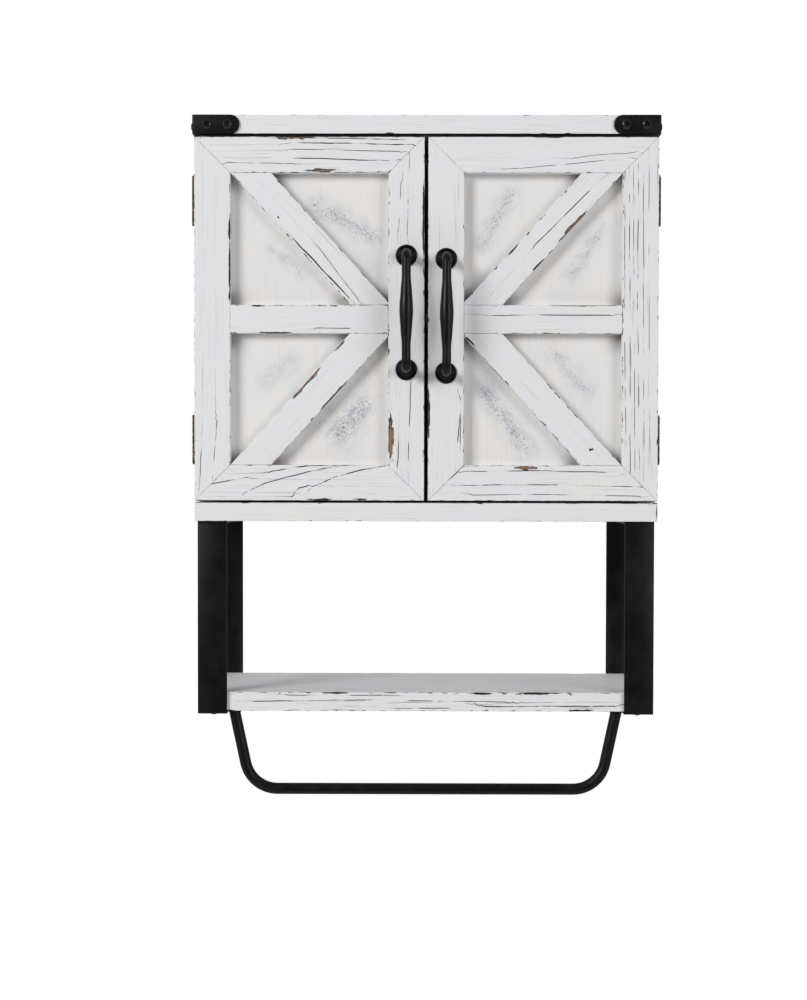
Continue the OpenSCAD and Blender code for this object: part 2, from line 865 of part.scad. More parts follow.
module grip() {
    reach = handle_cc / 2 - elbow_r;
    half = barrel_l / 2;
    taper_l = min(shoulder_l, reach - half - EPS);
    steps = 8;
    upper = concat(
        [for (i = [0 : steps]) [grip_r(i / steps), half * i / steps]],
        [for (i = [1 : steps]) [shoulder_r(i / steps), half + taper_l * i / steps]],
        [[post_d / 2, reach]]
    );
    lower = [for (i = [len(upper) - 1 : -1 : 1]) [upper[i].x, -upper[i].y]];
    rotate_extrude() polygon(concat([[0, -reach]], lower, upper, [[0, reach]]));
}

// Rosette standing on z = 0: a flat rim, a bead and a cone up to the post
module rosette() {
    rim_h = rosette_h * 0.3;
    groove_h = rosette_h * 0.36;
    bead_h = rosette_h * 0.5;
    bead_r = [0.9, 0.78];
    groove_r = 0.74;
    cone_r = [0.66, 0.5];
    rotate_extrude() scale([rosette_d / 2, 1]) polygon([
        [0, 0], [1, 0], [1, rim_h], [bead_r[0], bead_h], [bead_r[1], bead_h], [groove_r, groove_h],
        [cone_r[0], bead_h], [cone_r[1], rosette_h], [0, rosette_h]
    ]);
}

module handle(s, lift) {
    post_l = standoff - elbow_r;
    color(BLACK) on_side(s) translate([handle_x, -case_d, door_mid + lift]) difference() {
        union() {
            translate([0, -standoff, 0]) grip();
            for (t = SIDES) mirror([0, 0, t == RIGHT ? 0 : 1]) translate([0, 0, handle_cc / 2]) {
                facing("front") rosette();
                facing("front") cylinder(d = post_d, h = post_l);
                translate([0, -post_l, -elbow_r]) rotate([180, -90, 0])
                    rotate_extrude(angle = 90) translate([elbow_r, 0]) circle(d = post_d);
            }
        }
        for (t = SIDES) translate([0, 0, t * handle_cc / 2]) facing("front")
            translate([0, 0, -1]) cylinder(d = handle_screw_d + 2 * screw_clear, h = handle_screw_sink + 1);
    }
}

module handle_screws(s, lift) {
    color(STEEL) on_side(s) at_handle_screws(lift) union() {
        pan_head(handle_head_d, handle_head_h);
        translate([0, 0, screw_clear - door_t - handle_screw_sink])
            cylinder(d = handle_screw_d, h = door_t + handle_screw_sink - screw_clear + EPS);
    }
}

// ---------------------------------------------------------------- assembly

top_board();
bottom_board();
side_panel(LEFT);  // left_side
side_panel(RIGHT);  // right_side
back_panel();
back_panel_nails();
case_dowels();
hanging_rail();
inner_shelf();
shelf_pins();
corner_strap(LEFT);  // corner_strap_left
corner_strap(RIGHT);  // corner_strap_right
corner_strap_screws();
magnetic_catches();
catch_screws();
hanger_frame(LEFT);  // hanger_frame_left
hanger_frame(RIGHT);  // hanger_frame_right
hanger_top_screws();
hanger_shelf_screws();
lower_shelf();
towel_bar();
towel_bar_screws();
leaf(LEFT, hinge_zs[0], 1, 0);  // left_upper_case_leaf
leaf(LEFT, hinge_zs[1], 1, 0);  // left_lower_case_leaf
leaf(RIGHT, hinge_zs[0], 1, 0);  // right_upper_case_leaf
leaf(RIGHT, hinge_zs[1], 1, 0);  // right_lower_case_leaf
hinge_pin(LEFT, hinge_zs[0]);  // left_upper_hinge_pin
hinge_pin(LEFT, hinge_zs[1]);  // left_lower_hinge_pin
hinge_pin(RIGHT, hinge_zs[0]);  // right_upper_hinge_pin
hinge_pin(RIGHT, hinge_zs[1]);  // right_lower_hinge_pin
case_leaf_screws();

door_panel(LEFT, left_handle_lift);  // left_door_panel
outer_stile(LEFT);  // left_outer_stile
inner_stile(LEFT, left_handle_lift);  // left_inner_stile
top_rail(LEFT);  // left_top_rail
bottom_rail(LEFT);  // left_bottom_rail
mid_rail(LEFT);  // left_mid_rail
brace(LEFT, true);  // left_upper_brace
brace(LEFT, false);  // left_lower_brace
handle(LEFT, left_handle_lift);  // left_handle
handle_screws(LEFT, left_handle_lift);  // left_handle_screws
strike_plate(LEFT);  // left_strike_plate
leaf(LEFT, hinge_zs[0], -1, 1);  // left_upper_door_leaf
leaf(LEFT, hinge_zs[1], -1, 1);  // left_lower_door_leaf
door_screws(LEFT);  // left_door_screws

door_panel(RIGHT, right_handle_lift);  // right_door_panel
outer_stile(RIGHT);  // right_outer_stile
inner_stile(RIGHT, right_handle_lift);  // right_inner_stile
top_rail(RIGHT);  // right_top_rail
bottom_rail(RIGHT);  // right_bottom_rail
mid_rail(RIGHT);  // right_mid_rail
brace(RIGHT, true);  // right_upper_brace
brace(RIGHT, false);  // right_lower_brace
handle(RIGHT, right_handle_lift);  // right_handle
handle_screws(RIGHT, right_handle_lift);  // right_handle_screws
strike_plate(RIGHT);  // right_strike_plate
leaf(RIGHT, hinge_zs[0], -1, 1);  // right_upper_door_leaf
leaf(RIGHT, hinge_zs[1], -1, 1);  // right_lower_door_leaf
door_screws(RIGHT);  // right_door_screws
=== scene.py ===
import math

import bmesh
import bpy
from mathutils import Matrix, Vector, noise


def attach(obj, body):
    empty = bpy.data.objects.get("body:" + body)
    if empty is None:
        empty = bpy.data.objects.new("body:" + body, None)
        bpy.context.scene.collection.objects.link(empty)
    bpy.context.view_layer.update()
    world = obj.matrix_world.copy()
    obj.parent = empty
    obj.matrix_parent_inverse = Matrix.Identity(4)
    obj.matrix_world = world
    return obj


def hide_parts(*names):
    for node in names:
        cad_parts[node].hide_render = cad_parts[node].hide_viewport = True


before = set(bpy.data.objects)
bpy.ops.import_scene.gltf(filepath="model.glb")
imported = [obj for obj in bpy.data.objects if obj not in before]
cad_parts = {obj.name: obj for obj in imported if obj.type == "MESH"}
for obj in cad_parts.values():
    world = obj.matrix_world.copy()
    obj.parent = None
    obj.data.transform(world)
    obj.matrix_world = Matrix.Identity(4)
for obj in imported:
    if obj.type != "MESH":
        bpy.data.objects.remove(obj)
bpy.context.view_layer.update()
scene = bpy.context.scene

# ---------------------------------------------------------------------------
# The camera stands square to the doors, level with the open shelf and a long
# step back, with a normal lens. It looks down by a degree or so.

LENS, SENSOR = 57.6, 36.0
STAND = (-0.0145, -1.863, -0.3155)
LOOK_DOWN, TURN_LEFT, ROLL = 1.35, 0.31, 0.10

lens = bpy.data.cameras.new("studio_camera")
lens.lens, lens.sensor_width = LENS, SENSOR
camera = bpy.data.objects.new("studio_camera", lens)
scene.collection.objects.link(camera)
camera.matrix_world = (
    Matrix.Translation(STAND)
    @ Matrix.Rotation(math.radians(TURN_LEFT), 4, "Z")
    @ Matrix.Rotation(math.radians(90 - LOOK_DOWN), 4, "X")
    @ Matrix.Rotation(math.radians(ROLL), 4, "Z")
)
scene.camera = camera
scene.view_settings.view_transform = "Standard"

# ---------------------------------------------------------------------------
# The studio: a white sweep all round, a pale matt floor well below the hung
# cabinet, a large softbox high on the left and a weak one on the right.

FLOOR_Z, FLOOR_HALF = -1.95, 2.4
# how white the sweep is seen, and how strongly it lights from all round and from behind the camera
SWEEP_SEEN, SWEEP_LIGHT, SWEEP_FRONT = 1.0, 0.40, 0.06
# the cosines to straight behind the camera between which that light fades
FRONT_FADE = (0.6, 0.85)
# place, width and height in metres, watts
SOFTBOXES = {
    "key_softbox": ((-3.6, -3.7, 1.6), 2.0, 1.6, 184.0),
    "fill_softbox": ((3.0, -3.4, 0.4), 2.0, 2.0, 68.0),
}
AIM = Vector((0.0, -0.1, -0.2))
SMOOTH = {"interpolation_type": "SMOOTHSTEP"}


def colour(code):
    """An sRGB hex code as linear red, green, blue and alpha."""
    parts = [int(code[i:i + 2], 16) / 255 for i in (1, 3, 5)]
    linear = [p / 12.92 if p <= 0.04045 else ((p + 0.055) / 1.055) ** 2.4 for p in parts]
    return (*linear, 1.0)


def join(tree, node, links):
    """Sets or links a node's inputs, by name, or from a list in the order of those in use. Each is a
    value, a socket, or a node for its own first output in use."""
    if not isinstance(links, dict):
        links = dict(zip((i for i, end in enumerate(node.inputs) if end.enabled), links))
    for key, value in links.items():
        if isinstance(value, bpy.types.Node):
            value = next(end for end in value.outputs if end.enabled)
        if isinstance(value, bpy.types.NodeSocket):
            tree.links.new(value, node.inputs[key])
        else:
            node.inputs[key].default_value = value


def add(tree, kind, settings=None, links=()):
    """Adds a node with its settings and links."""
    made = tree.nodes.new("ShaderNode" + kind)
    for key, value in (settings or {}).items():
        setattr(made, key, value)
    join(tree, made, links)
    return made


def new_finish(name):
    """A new material with its node tree and its shader."""
    material = bpy.data.materials.new(name)
    material.use_nodes = True
    return material, material.node_tree, material.node_tree.nodes["Principled BSDF"]


world = bpy.data.worlds.new("white_sweep")
world.use_nodes = True
sweep = world.node_tree
sweep.nodes.clear()
seen = add(sweep, "Background", links={"Color": colour("#FFFFFF"), "Strength": SWEEP_SEEN})
# the room behind the camera is dark, so that black metal stays black from the front
from_front = add(sweep, "VectorMath", {"operation": "DOT_PRODUCT"}, [
    add(sweep, "TexCoord").outputs["Generated"], (0, -1, 0)])
cast = add(sweep, "Background", links={"Color": colour("#FBFCFF"), "Strength": add(
    sweep, "MapRange", SMOOTH, [from_front, *FRONT_FADE, SWEEP_LIGHT, SWEEP_FRONT])})
both = add(sweep, "MixShader", links=[add(sweep, "LightPath").outputs["Is Camera Ray"], cast, seen])
add(sweep, "OutputWorld", links={"Surface": both})
scene.world = world

for label, (spot, wide, high, watts) in SOFTBOXES.items():
    light = bpy.data.lights.new(label, "AREA")
    light.shape, light.size, light.size_y, light.energy = "RECTANGLE", wide, high, watts
    lamp = bpy.data.objects.new(label, light)
    scene.collection.objects.link(lamp)
    turn = (AIM - Vector(spot)).to_track_quat("-Z", "Y").to_matrix().to_4x4()
    lamp.matrix_world = Matrix.Translation(spot) @ turn

# flat emulsion: it takes soft shade and gives back no gloss
matt_floor, tree, shader = new_finish("pale_matt_floor")
join(tree, shader, {"Base Color": colour("#F4F3F0"), "Roughness": 0.9})
bm = bmesh.new()
bmesh.ops.create_grid(bm, x_segments=8, y_segments=8, size=FLOOR_HALF)
bmesh.ops.translate(bm, verts=bm.verts, vec=(0, 0, FLOOR_Z))
floor_mesh = bpy.data.meshes.new("studio_floor")
bm.to_mesh(floor_mesh)
bm.free()
floor_mesh.materials.append(matt_floor)
floor = bpy.data.objects.new("studio_floor", floor_mesh)
scene.collection.objects.link(floor)

# ---------------------------------------------------------------------------
# The case's top and bottom boards: 20 mm solid fir, stained dark, painted
# white and rubbed back so the stain shows along the arrises. They are dowelled
# to the side panels.

# lengths in the sections below are in mm, and a mesh is scaled to metres when it is done; points
# nearer than TOUCH are one
MM = 0.001
TOUCH = 1e-3
OUT = Vector((0, -1, 0))
LEVEL, UPRIGHT = Vector((1, 0, 0)), Vector((0, 0, 1))
# how far an arris is rounded, and the most area of one of its facets
ARRIS, FACET = 0.7, 1050.0
# the cuts that carry the wear, from each end: even ones start here, the rest lie along the arrises
EVEN_FROM, END_CUTS, SIDE_CUTS = 6.0, (2.2,), (1.8, 3.4)
# per mm along and across the grain: soft bands, fine lines, chips, breaks in a check, its wander
BANDS, FINE, CHIPS, BREAKS = (0.012, 0.06), (0.014, 0.75), (0.1, 0.42), (0.024, 0.12)
BENDS = (0.03, 0.05)
# where each board's grain is taken from, so that no two are alike
GRAIN_SHIFT = (713, 37)
# the strip beside a door's gap, made dark as painted shade of the gap: its depth, how close to the side,
# and its value
GAP_STRIP, GAP_STRIP_SKIN, GAP_SHADE_VALUE = 14, 0.3, -3.0
# how much further off the arris of a butt joint counts
BUTTED = 1.1
# checks: the most on a board, the furthest one counts, how they taper past their ends and down the side
MOST_CHECKS, FAR, PAST_END, DOWN_SIDE, SIDE_FROM = 6, 60.0, 0.5, 0.6, 0.8
# chips: the value of whole paint, and how they fade down the side
WHOLE, CHIP_FADE, CHIP_FROM = -2.0, 0.3, 2
# dents: how near an arris, and how deep; gouges: how deep, how steep, the share without brown wood
DENT_NEAR, DENT, GOUGE, GOUGE_SLOPE, SHALLOW = 2.0, 0.45, 0.7, 1.6, 0.3
# how far a check wanders, half its width, the paint film's thickness and how ragged a chip's edge is
WANDER, CHECK_HALF, FILM, RAGGED = 1.8, 0.56, 0.2, 2.6
# the stopped rebate behind the boards: half its length, its width and its depth
REBATE = (236.0, 9.0, 5.0)


def run_of(outline, x):
    """Height of a line at x, how steep it is there, and how far x lies past its ends."""
    past = max(outline[0].x - x, x - outline[-1].x, 0.0)
    x = min(max(x, outline[0].x), outline[-1].x)
    for a, b in zip(outline, outline[1:]):
        if x <= b.x:
            slope = (b.y - a.y) / max(b.x - a.x, 1e-6)
            return a.y + slope * (x - a.x), slope, past
    return outline[-1].y, 0.0, past


def slice_at(bm, axis, spot):
    """Cuts every face at that height on an axis."""
    at, normal = Vector(), Vector()
    at[axis], normal[axis] = spot, 1
    bmesh.ops.bisect_plane(bm, geom=bm.verts[:] + bm.edges[:] + bm.faces[:], dist=TOUCH,
                           plane_co=at, plane_no=normal)


def open_rebate(bm, side):
    """Opens the stopped rebate for the back panel on the board's upper (1) or lower (-1) side: takes out
    its mouth and draws the two walls inwards."""
    half, wide, deep = REBATE
    wall = side * (max(v.co.y for v in bm.verts) - wide)
    back = min(v.co.z for v in bm.verts)
    for axis, spot in ((0, -half), (0, half), (1, wall), (2, back + deep)):
        slice_at(bm, axis, spot)
    mouth = []
    for f in bm.faces:
        c = f.calc_center_median()
        if abs(c.x) < half and side * (c.y - wall) > 0 and c.z < back + deep:
            mouth.append(f)
    bmesh.ops.delete(bm, geom=mouth, context="FACES")
    rim = [e for e in bm.edges if e.is_boundary]
    for here, there, level, end in ((2, 1, back + deep, wall), (1, 2, wall, back + deep)):
        lip = [e for e in rim if all(abs(v.co[here] - level) < TOUCH for v in e.verts)]
        grown = bmesh.ops.extrude_edge_only(bm, edges=lip)["geom"]
        for v in grown:
            if isinstance(v, bmesh.types.BMVert):
                v.co[there] = end
    bmesh.ops.remove_doubles(bm, verts=bm.verts, dist=TOUCH)
    bmesh.ops.holes_fill(bm, edges=[e for e in bm.edges if e.is_boundary], sides=0)
    bmesh.ops.recalc_face_normals(bm, faces=bm.faces)


def board(name, corners, face_y, thick, grain, seed, chipped=1.0, broken=0.0, lined=0.3,
          joints=(), checks=(), chips=(), pitch=7.0, gap_shaded=(), rebated=0):
    """A worn board as a mesh, from its outline in x and z on its front face, in mm.

    chipped, broken and lined say how much its arrises are chipped, how its checks break up and how much
    open grain shows. joints are the outline's sides that butt on another board, and the sides given for
    the gap are those beside a door's gap, whose strip is darkened as painted shade of the gap. checks
    are the long open lines of the grain as (weight, points), and chips the lost paint as (x, z, half
    length, half width), with a 1 after it if it goes down to brown wood.
    rebated is 1 or -1 where the upper or the lower side has the rebate for the back panel."""
    flat = [Vector((x, face_y, z)) for x, z in corners]
    turn = Matrix((grain, OUT.cross(grain), OUT)).transposed().to_4x4()
    place = Matrix.Translation(sum(flat, Vector()) / len(flat)) @ turn
    inward = place.inverted()
    outline = [inward @ p for p in flat]
    bm = bmesh.new()
    face = bm.faces.new([bm.verts.new(p) for p in outline])
    bm.normal_update()
    bmesh.ops.solidify(bm, geom=[face], thickness=thick)
    low = min(v.co.z for v in bm.verts)
    bmesh.ops.translate(bm, verts=bm.verts, vec=(0, 0, -low - thick))
    bmesh.ops.recalc_face_normals(bm, faces=bm.faces)
    bmesh.ops.bevel(bm, geom=bm.edges[:], offset=ARRIS, offset_type="OFFSET", segments=2,
                    profile=0.5, affect="EDGES", material=-1)
    for f in bm.faces:
        f.smooth = max(abs(c) for c in f.normal) < 0.95 and f.calc_area() < FACET
    # cuts close to each arris carry the wear, and even ones between them carry the grain
    for axis in range(3):
        lo, hi = min(v.co[axis] for v in bm.verts), max(v.co[axis] for v in bm.verts)
        span = hi - lo - 2 * EVEN_FROM
        count = max(1, round(span / pitch))
        spots = [lo + EVEN_FROM + span * i / count for i in range(count + 1)] if count > 1 else []
        for near in SIDE_CUTS if axis else END_CUTS:
            spots += [lo + near, hi - near]
        for spot in spots:
            slice_at(bm, axis, spot)
    if rebated:
        open_rebate(bm, rebated)
    bm.normal_update()
    middle = sum(outline, Vector()) / len(outline)
    sides = []
    for a, b in zip(outline, outline[1:] + outline[:1]):
        edge = (b - a).normalized()
        inside = Vector((-edge.y, edge.x, 0))
        if inside.dot(middle - a) < 0:
            inside.negate()
        sides.append((a, inside))
    lines = [(weight, sorted((inward @ Vector((x, face_y, z)) for x, z in points), key=lambda p: p.x))
             for weight, points in checks[:MOST_CHECKS]]
    spots = [(inward @ Vector((x, face_y, z)), long, wide, brown[0] if brown else 0.0)
             for x, z, long, wide, *brown in chips]
    told = {"grain": [], "worn": [], "checks_a": [], "checks_b": [], "loss": []}
    for v in bm.verts:
        x, y, z = v.co
        # the second nearest face says how far off the nearest arris is
        faces = sorted([inside.dot(v.co - a) + (BUTTED if i in joints else 0)
                        for i, (a, inside) in enumerate(sides)] + [-z, z + thick])
        arris = max(0.0, faces[1])
        # beside a door's gap the strip is darkened all over as painted shade of the gap
        if -z < GAP_STRIP and any(sides[i][1].dot(v.co - sides[i][0]) < GAP_STRIP_SKIN for i in gap_shaded):
            arris = GAP_SHADE_VALUE
        fade = max(0, -z - CHIP_FROM) * CHIP_FADE
        bare, brown = max([(1 - math.hypot((x - c.x) / long, (y - c.y) / wide) - fade, brown)
                           for c, long, wide, brown in spots], default=(WHOLE, 0.0))
        told["grain"] += [x + GRAIN_SHIFT[0] * seed, y + GRAIN_SHIFT[1] * seed, z]
        told["worn"] += [chipped, broken, lined]
        told["loss"] += [arris, max(bare, WHOLE), brown]
        off = []
        for weight, line in lines:
            height, slope, past = run_of(line, x)
            away = (y - height) / math.hypot(1, slope)
            reach = PAST_END * past + DOWN_SIDE * max(0.0, -z - SIDE_FROM)
            off.append(max(-FAR, min(FAR, (away + math.copysign(reach, away)) / weight)))
        off += [FAR] * (MOST_CHECKS - len(off))
        told["checks_a"] += off[:3]
        told["checks_b"] += off[3:]
        rough = noise.noise(Vector((x * CHIPS[0] + seed, y * CHIPS[1], z * CHIPS[1])))
        if arris < DENT_NEAR:
            v.co -= v.normal * DENT * chipped * max(0.0, rough)
        if bare > 0:
            v.co -= v.normal * min(GOUGE, GOUGE_SLOPE * bare) * (SHALLOW + (1 - SHALLOW) * brown)
    bmesh.ops.transform(bm, verts=bm.verts, matrix=Matrix.Scale(MM, 4) @ place)
    mesh = bpy.data.meshes.new(name)
    bm.to_mesh(mesh)
    bm.free()
    for key, values in told.items():
        mesh.attributes.new(key, "FLOAT_VECTOR", "POINT").data.foreach_set("vector", values)
    return mesh


def hang(mesh, material, body, slot, *nodes):
    """Puts a finished mesh in the scene under its own name, on its body."""
    piece = bpy.data.objects.new(mesh.name, mesh)
    scene.collection.objects.link(piece)
    mesh.materials.append(material)
    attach(piece, body)
    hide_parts(*nodes)


def stretched(tree, vector, scales, detail=2.0, rough=0.5, shift=0.0):
    """Noise on coordinates in mm, drawn out along the grain."""
    along, across = scales
    scaled = add(tree, "Mapping", links={
        "Vector": vector, "Location": (shift, shift, shift), "Scale": (along, across, across)})
    return add(tree, "TexNoise", links={
        "Vector": scaled, "Scale": 1.0, "Detail": detail, "Roughness": rough})


def in_mm(tree, turned=(0, 0, 0)):
    """The place on a piece in mm, turned so that the grain runs along x."""
    place = add(tree, "TexCoord").outputs["Object"]
    return add(tree, "Mapping", links={"Vector": place, "Rotation": turned, "Scale": (1 / MM,) * 3})


RGBA = {"data_type": "RGBA"}
TIMES, MINUS, TIMES_PLUS, MOST, LEAST = (
    {"operation": name} for name in ("MULTIPLY", "SUBTRACT", "MULTIPLY_ADD", "MAXIMUM", "MINIMUM"))
# how much open grain shows on the plain boards, which carry no wear of their own
PLAIN_LINED = 0.35


def whitewash(name, turned=None):
    """White chalky paint rubbed back over dark stain: cool white, thin dark lines where the grain and
    the arrises have lost their paint, and brown bare wood in the deepest chips. Boards that carry their
    own wear are read from it; a turned one reads its place in the case, with the grain along x."""
    material, tree, shader = new_finish(name)
    carries = turned is None
    if carries:
        grain = add(tree, "Attribute", {"attribute_name": "grain"}).outputs["Vector"]
        chipped, broken, lined = add(tree, "SeparateXYZ", links=[
            add(tree, "Attribute", {"attribute_name": "worn"}).outputs["Vector"]]).outputs
    else:
        grain, lined = in_mm(tree, turned), PLAIN_LINED
    bands = stretched(tree, grain, BANDS)
    fine = stretched(tree, grain, FINE, 3.0, 0.6)
    chipping = stretched(tree, grain, CHIPS, 4.0, 0.62, 5.0)
    # open grain: fine dark strokes, in bands
    open_grain = add(tree, "Math", TIMES, [
        add(tree, "MapRange", SMOOTH, [fine, 0.60, 0.72]),
        add(tree, "MapRange", SMOOTH, [bands, 0.45, 0.66])])
    dark = add(tree, "Math", TIMES, [open_grain, lined])
    if carries:
        arris, field, brown = add(tree, "SeparateXYZ", links=[
            add(tree, "Attribute", {"attribute_name": "loss"}).outputs["Vector"]]).outputs
        # paint is lost to about a millimetre from each arris, and to three where it is chipped
        lost = add(tree, "Math", TIMES, [add(tree, "Math", MINUS, [chipping, 0.52]), 13.0])
        lost = add(tree, "Math", TIMES, [lost, chipped])
        # an arris below zero, set on the strips beside the door gaps, darkens them whole as painted shade
        edge = add(tree, "MapRange", SMOOTH, [add(tree, "Math", MINUS, [lost, arris]), -0.1, 0.3])
        # checks: the long open lines of the grain, wandering a little and breaking up
        wander = stretched(tree, grain, BENDS, 2.0, 0.5, 9.0)
        wander = add(tree, "Math", TIMES, [add(tree, "Math", MINUS, [wander, 0.5]), WANDER])
        both = []
        for key in ("checks_a", "checks_b"):
            off = add(tree, "Attribute", {"attribute_name": key}).outputs["Vector"]
            off = add(tree, "VectorMath", {"operation": "ADD"}, [off, wander])
            both.append(add(tree, "VectorMath", {"operation": "ABSOLUTE"}, [off]))
        near = add(tree, "SeparateXYZ", links=[add(tree, "VectorMath", LEAST, both)]).outputs
        near = add(tree, "Math", LEAST, [near[0], add(tree, "Math", LEAST, [near[1], near[2]])])
        breaks = stretched(tree, grain, BREAKS, 3.0, 0.6, 2.0)
        need = add(tree, "Math", TIMES_PLUS, [broken, 0.16, 0.36])
        width = add(tree, "MapRange", SMOOTH, [add(tree, "Math", MINUS, [breaks, need]), 0.0, 0.16])
        width = add(tree, "Math", TIMES, [width, CHECK_HALF])
        check = add(tree, "MapRange", SMOOTH, [add(tree, "Math", MINUS, [width, near]), -0.1, 0.16])
        # chips: a dark ragged rim, and inside it brown wood where the chip is deep
        ragged = add(tree, "Math", TIMES_PLUS, [add(tree, "Math", MINUS, [chipping, 0.5]), RAGGED, field])
        rim = add(tree, "MapRange", SMOOTH, [ragged, -0.05, 0.05])
        bare = add(tree, "Math", TIMES, [add(tree, "MapRange", SMOOTH, [ragged, 0.16, 0.30]), brown])
        dark = add(tree, "Math", MOST, [
            add(tree, "Math", MOST, [dark, edge]), add(tree, "Math", MOST, [check, rim])])
    shade = add(tree, "Mix", RGBA, [
        add(tree, "MapRange", SMOOTH, [bands, 0.35, 0.65]), colour("#E2E3E6"), colour("#E4E3E1")])
    shade = add(tree, "Mix", RGBA, [
        add(tree, "MapRange", SMOOTH, [fine, 0.50, 0.78, 0.0, 0.30]), shade, colour("#B9BAC0")])
    stain = add(tree, "Mix", RGBA, [
        add(tree, "MapRange", SMOOTH, [chipping, 0.5, 0.7]), colour("#1D1B1E"), colour("#413836")])
    shade = add(tree, "Mix", RGBA, [dark, shade, stain])
    if carries:
        wood = add(tree, "Mix", RGBA, [
            add(tree, "MapRange", SMOOTH, [fine, 0.4, 0.65]), colour("#94775F"), colour("#4E3C30")])
        shade = add(tree, "Mix", RGBA, [bare, shade, wood])
    # the film is brushed along the grain, and its broken edges stand up from the stain
    height = add(tree, "Math", TIMES_PLUS, [fine, 0.35, add(tree, "Math", MINUS, [1.0, dark])])
    join(tree, shader, {
        "Base Color": shade, "Roughness": add(tree, "MapRange", SMOOTH, [dark, 0.0, 1.0, 0.52, 0.8]),
        "Normal": add(tree, "Bump", links={"Height": height, "Strength": 0.7, "Distance": FILM * MM})})
    return material


white_wood = whitewash("rubbed_white_paint_on_stained_fir")

# lowest and highest z, seed, the side by the doors, the side rebated, checks, chips
CASE_BOARDS = {
    "top_board": (30, 50, 1, 0, -1, [], [(122, 31, 4, 0.8), (148, 30.6, 4, 0.9), (-38, 31, 5, 0.9)]),
    "bottom_board": (-378, -358, 2, 2, 1, [
        (0.8, [(150, -358.8), (225, -358.6), (244, -358.8)]),
        (0.9, [(232, -359.4), (240, -359.8), (244, -362.5)])],
        [(244.4, -368, 0.9, 7), (-190, -359, 5, 0.9), (-112, -359, 4, 0.8), (55, -359, 5, 1.0)]),
}
CASE_HALF, CASE_DEPTH = 245, 170
# each board's side by the doors gets the dark strip of painted gap shade
for node, (low, high, seed, by_doors, rebated, checks, chips) in CASE_BOARDS.items():
    mesh = board(node + "_painted", [
        (-CASE_HALF, low), (CASE_HALF, low), (CASE_HALF, high), (-CASE_HALF, high)],
        -CASE_DEPTH, CASE_DEPTH, LEVEL, seed, 0.5, 0.4, 0.25, checks=checks, chips=chips,
        pitch=9.0, gap_shaded=(by_doors,), rebated=rebated)
    hang(mesh, white_wood, "cabinet", "whitewashed_wood", node)

# ---------------------------------------------------------------------------
# The side panels and the hanging rail: the same painted fir. The sides stand
# between the boards on dowels, with rows of shelf-pin holes; the rail is glued.

TURNED_UP = (0, math.radians(90), 0)


def dress(material, *nodes):
    """Gives the pieces that keep their own shape a better material."""
    for node in nodes:
        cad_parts[node].material_slots[0].material = material


dress(whitewash("white_paint_on_upright_fir", TURNED_UP), "left_side", "right_side")
dress(whitewash("white_paint_on_level_fir", (0, 0, 0)), "hanging_rail")

# ---------------------------------------------------------------------------
# The inner shelf: a 12 mm fir board, painted on all its sides. It lies loose on
# four pins, so that it can be moved.

mesh = board("inner_shelf_painted", [(-226, -166), (226, -166), (226, -154), (-226, -154)],
             -138, 132, LEVEL, 3, 0.5, 0.3, 0.3, pitch=11.0)
hang(mesh, white_wood, "cabinet", "whitewashed_wood", "inner_shelf")

# ---------------------------------------------------------------------------
# Door panels and back panel: thin plywood with one warm white wash, rubbed
# back in slanting strokes where each triangle is widest. Glued behind the frames.

DOOR_IN, DOOR_OUT, DOOR_LOW, DOOR_HIGH = 2.0, 245.0, -356.5, 27.5
DOOR_MID = (DOOR_LOW + DOOR_HIGH) / 2
STILE, RAIL_HALF = 38.0, 15.0
FRAME_FACE, FRAME_T, PANEL_T = -170.0, 12.0, 6.0
PANEL_FACE = FRAME_FACE + FRAME_T
FIELD_IN, FIELD_OUT, FIELD_TOP = DOOR_IN + STILE, DOOR_OUT - STILE, DOOR_HIGH - STILE
# rubbed strokes: from and to in x and z, half width, strength
RUBBED = {
    "left": [(-116, -44, -56, -77, 11, 1.0), (-164, -87, -133, -114, 7, 0.8),
             (-172, -229, -142, -209, 9, 0.7), (-92, -284, -68, -256, 17, 1.1),
             (-122, -279, -103, -258, 9, 0.8)],
    "right": [(60, -84, 88, -33, 10, 0.9), (154, -116, 186, -68, 9, 0.8), (137, -199, 173, -243, 9, 0.85),
              (62, -239, 107, -300, 12, 1.0)],
}
# where wash and dust lie dark, with painted shade as well: the sharp corners of the fields, above the
# middle rail, and how far
SHARP, CORNER_SHADE_RADIUS = [(207, -12), (82, -147), (162, -12), (41, -145), (207, -147)], 13
# the braces' angle to level, which the strokes follow, and the wash's thickness
BRACE_LEAN, WASH_FILM = 47.7, 0.15


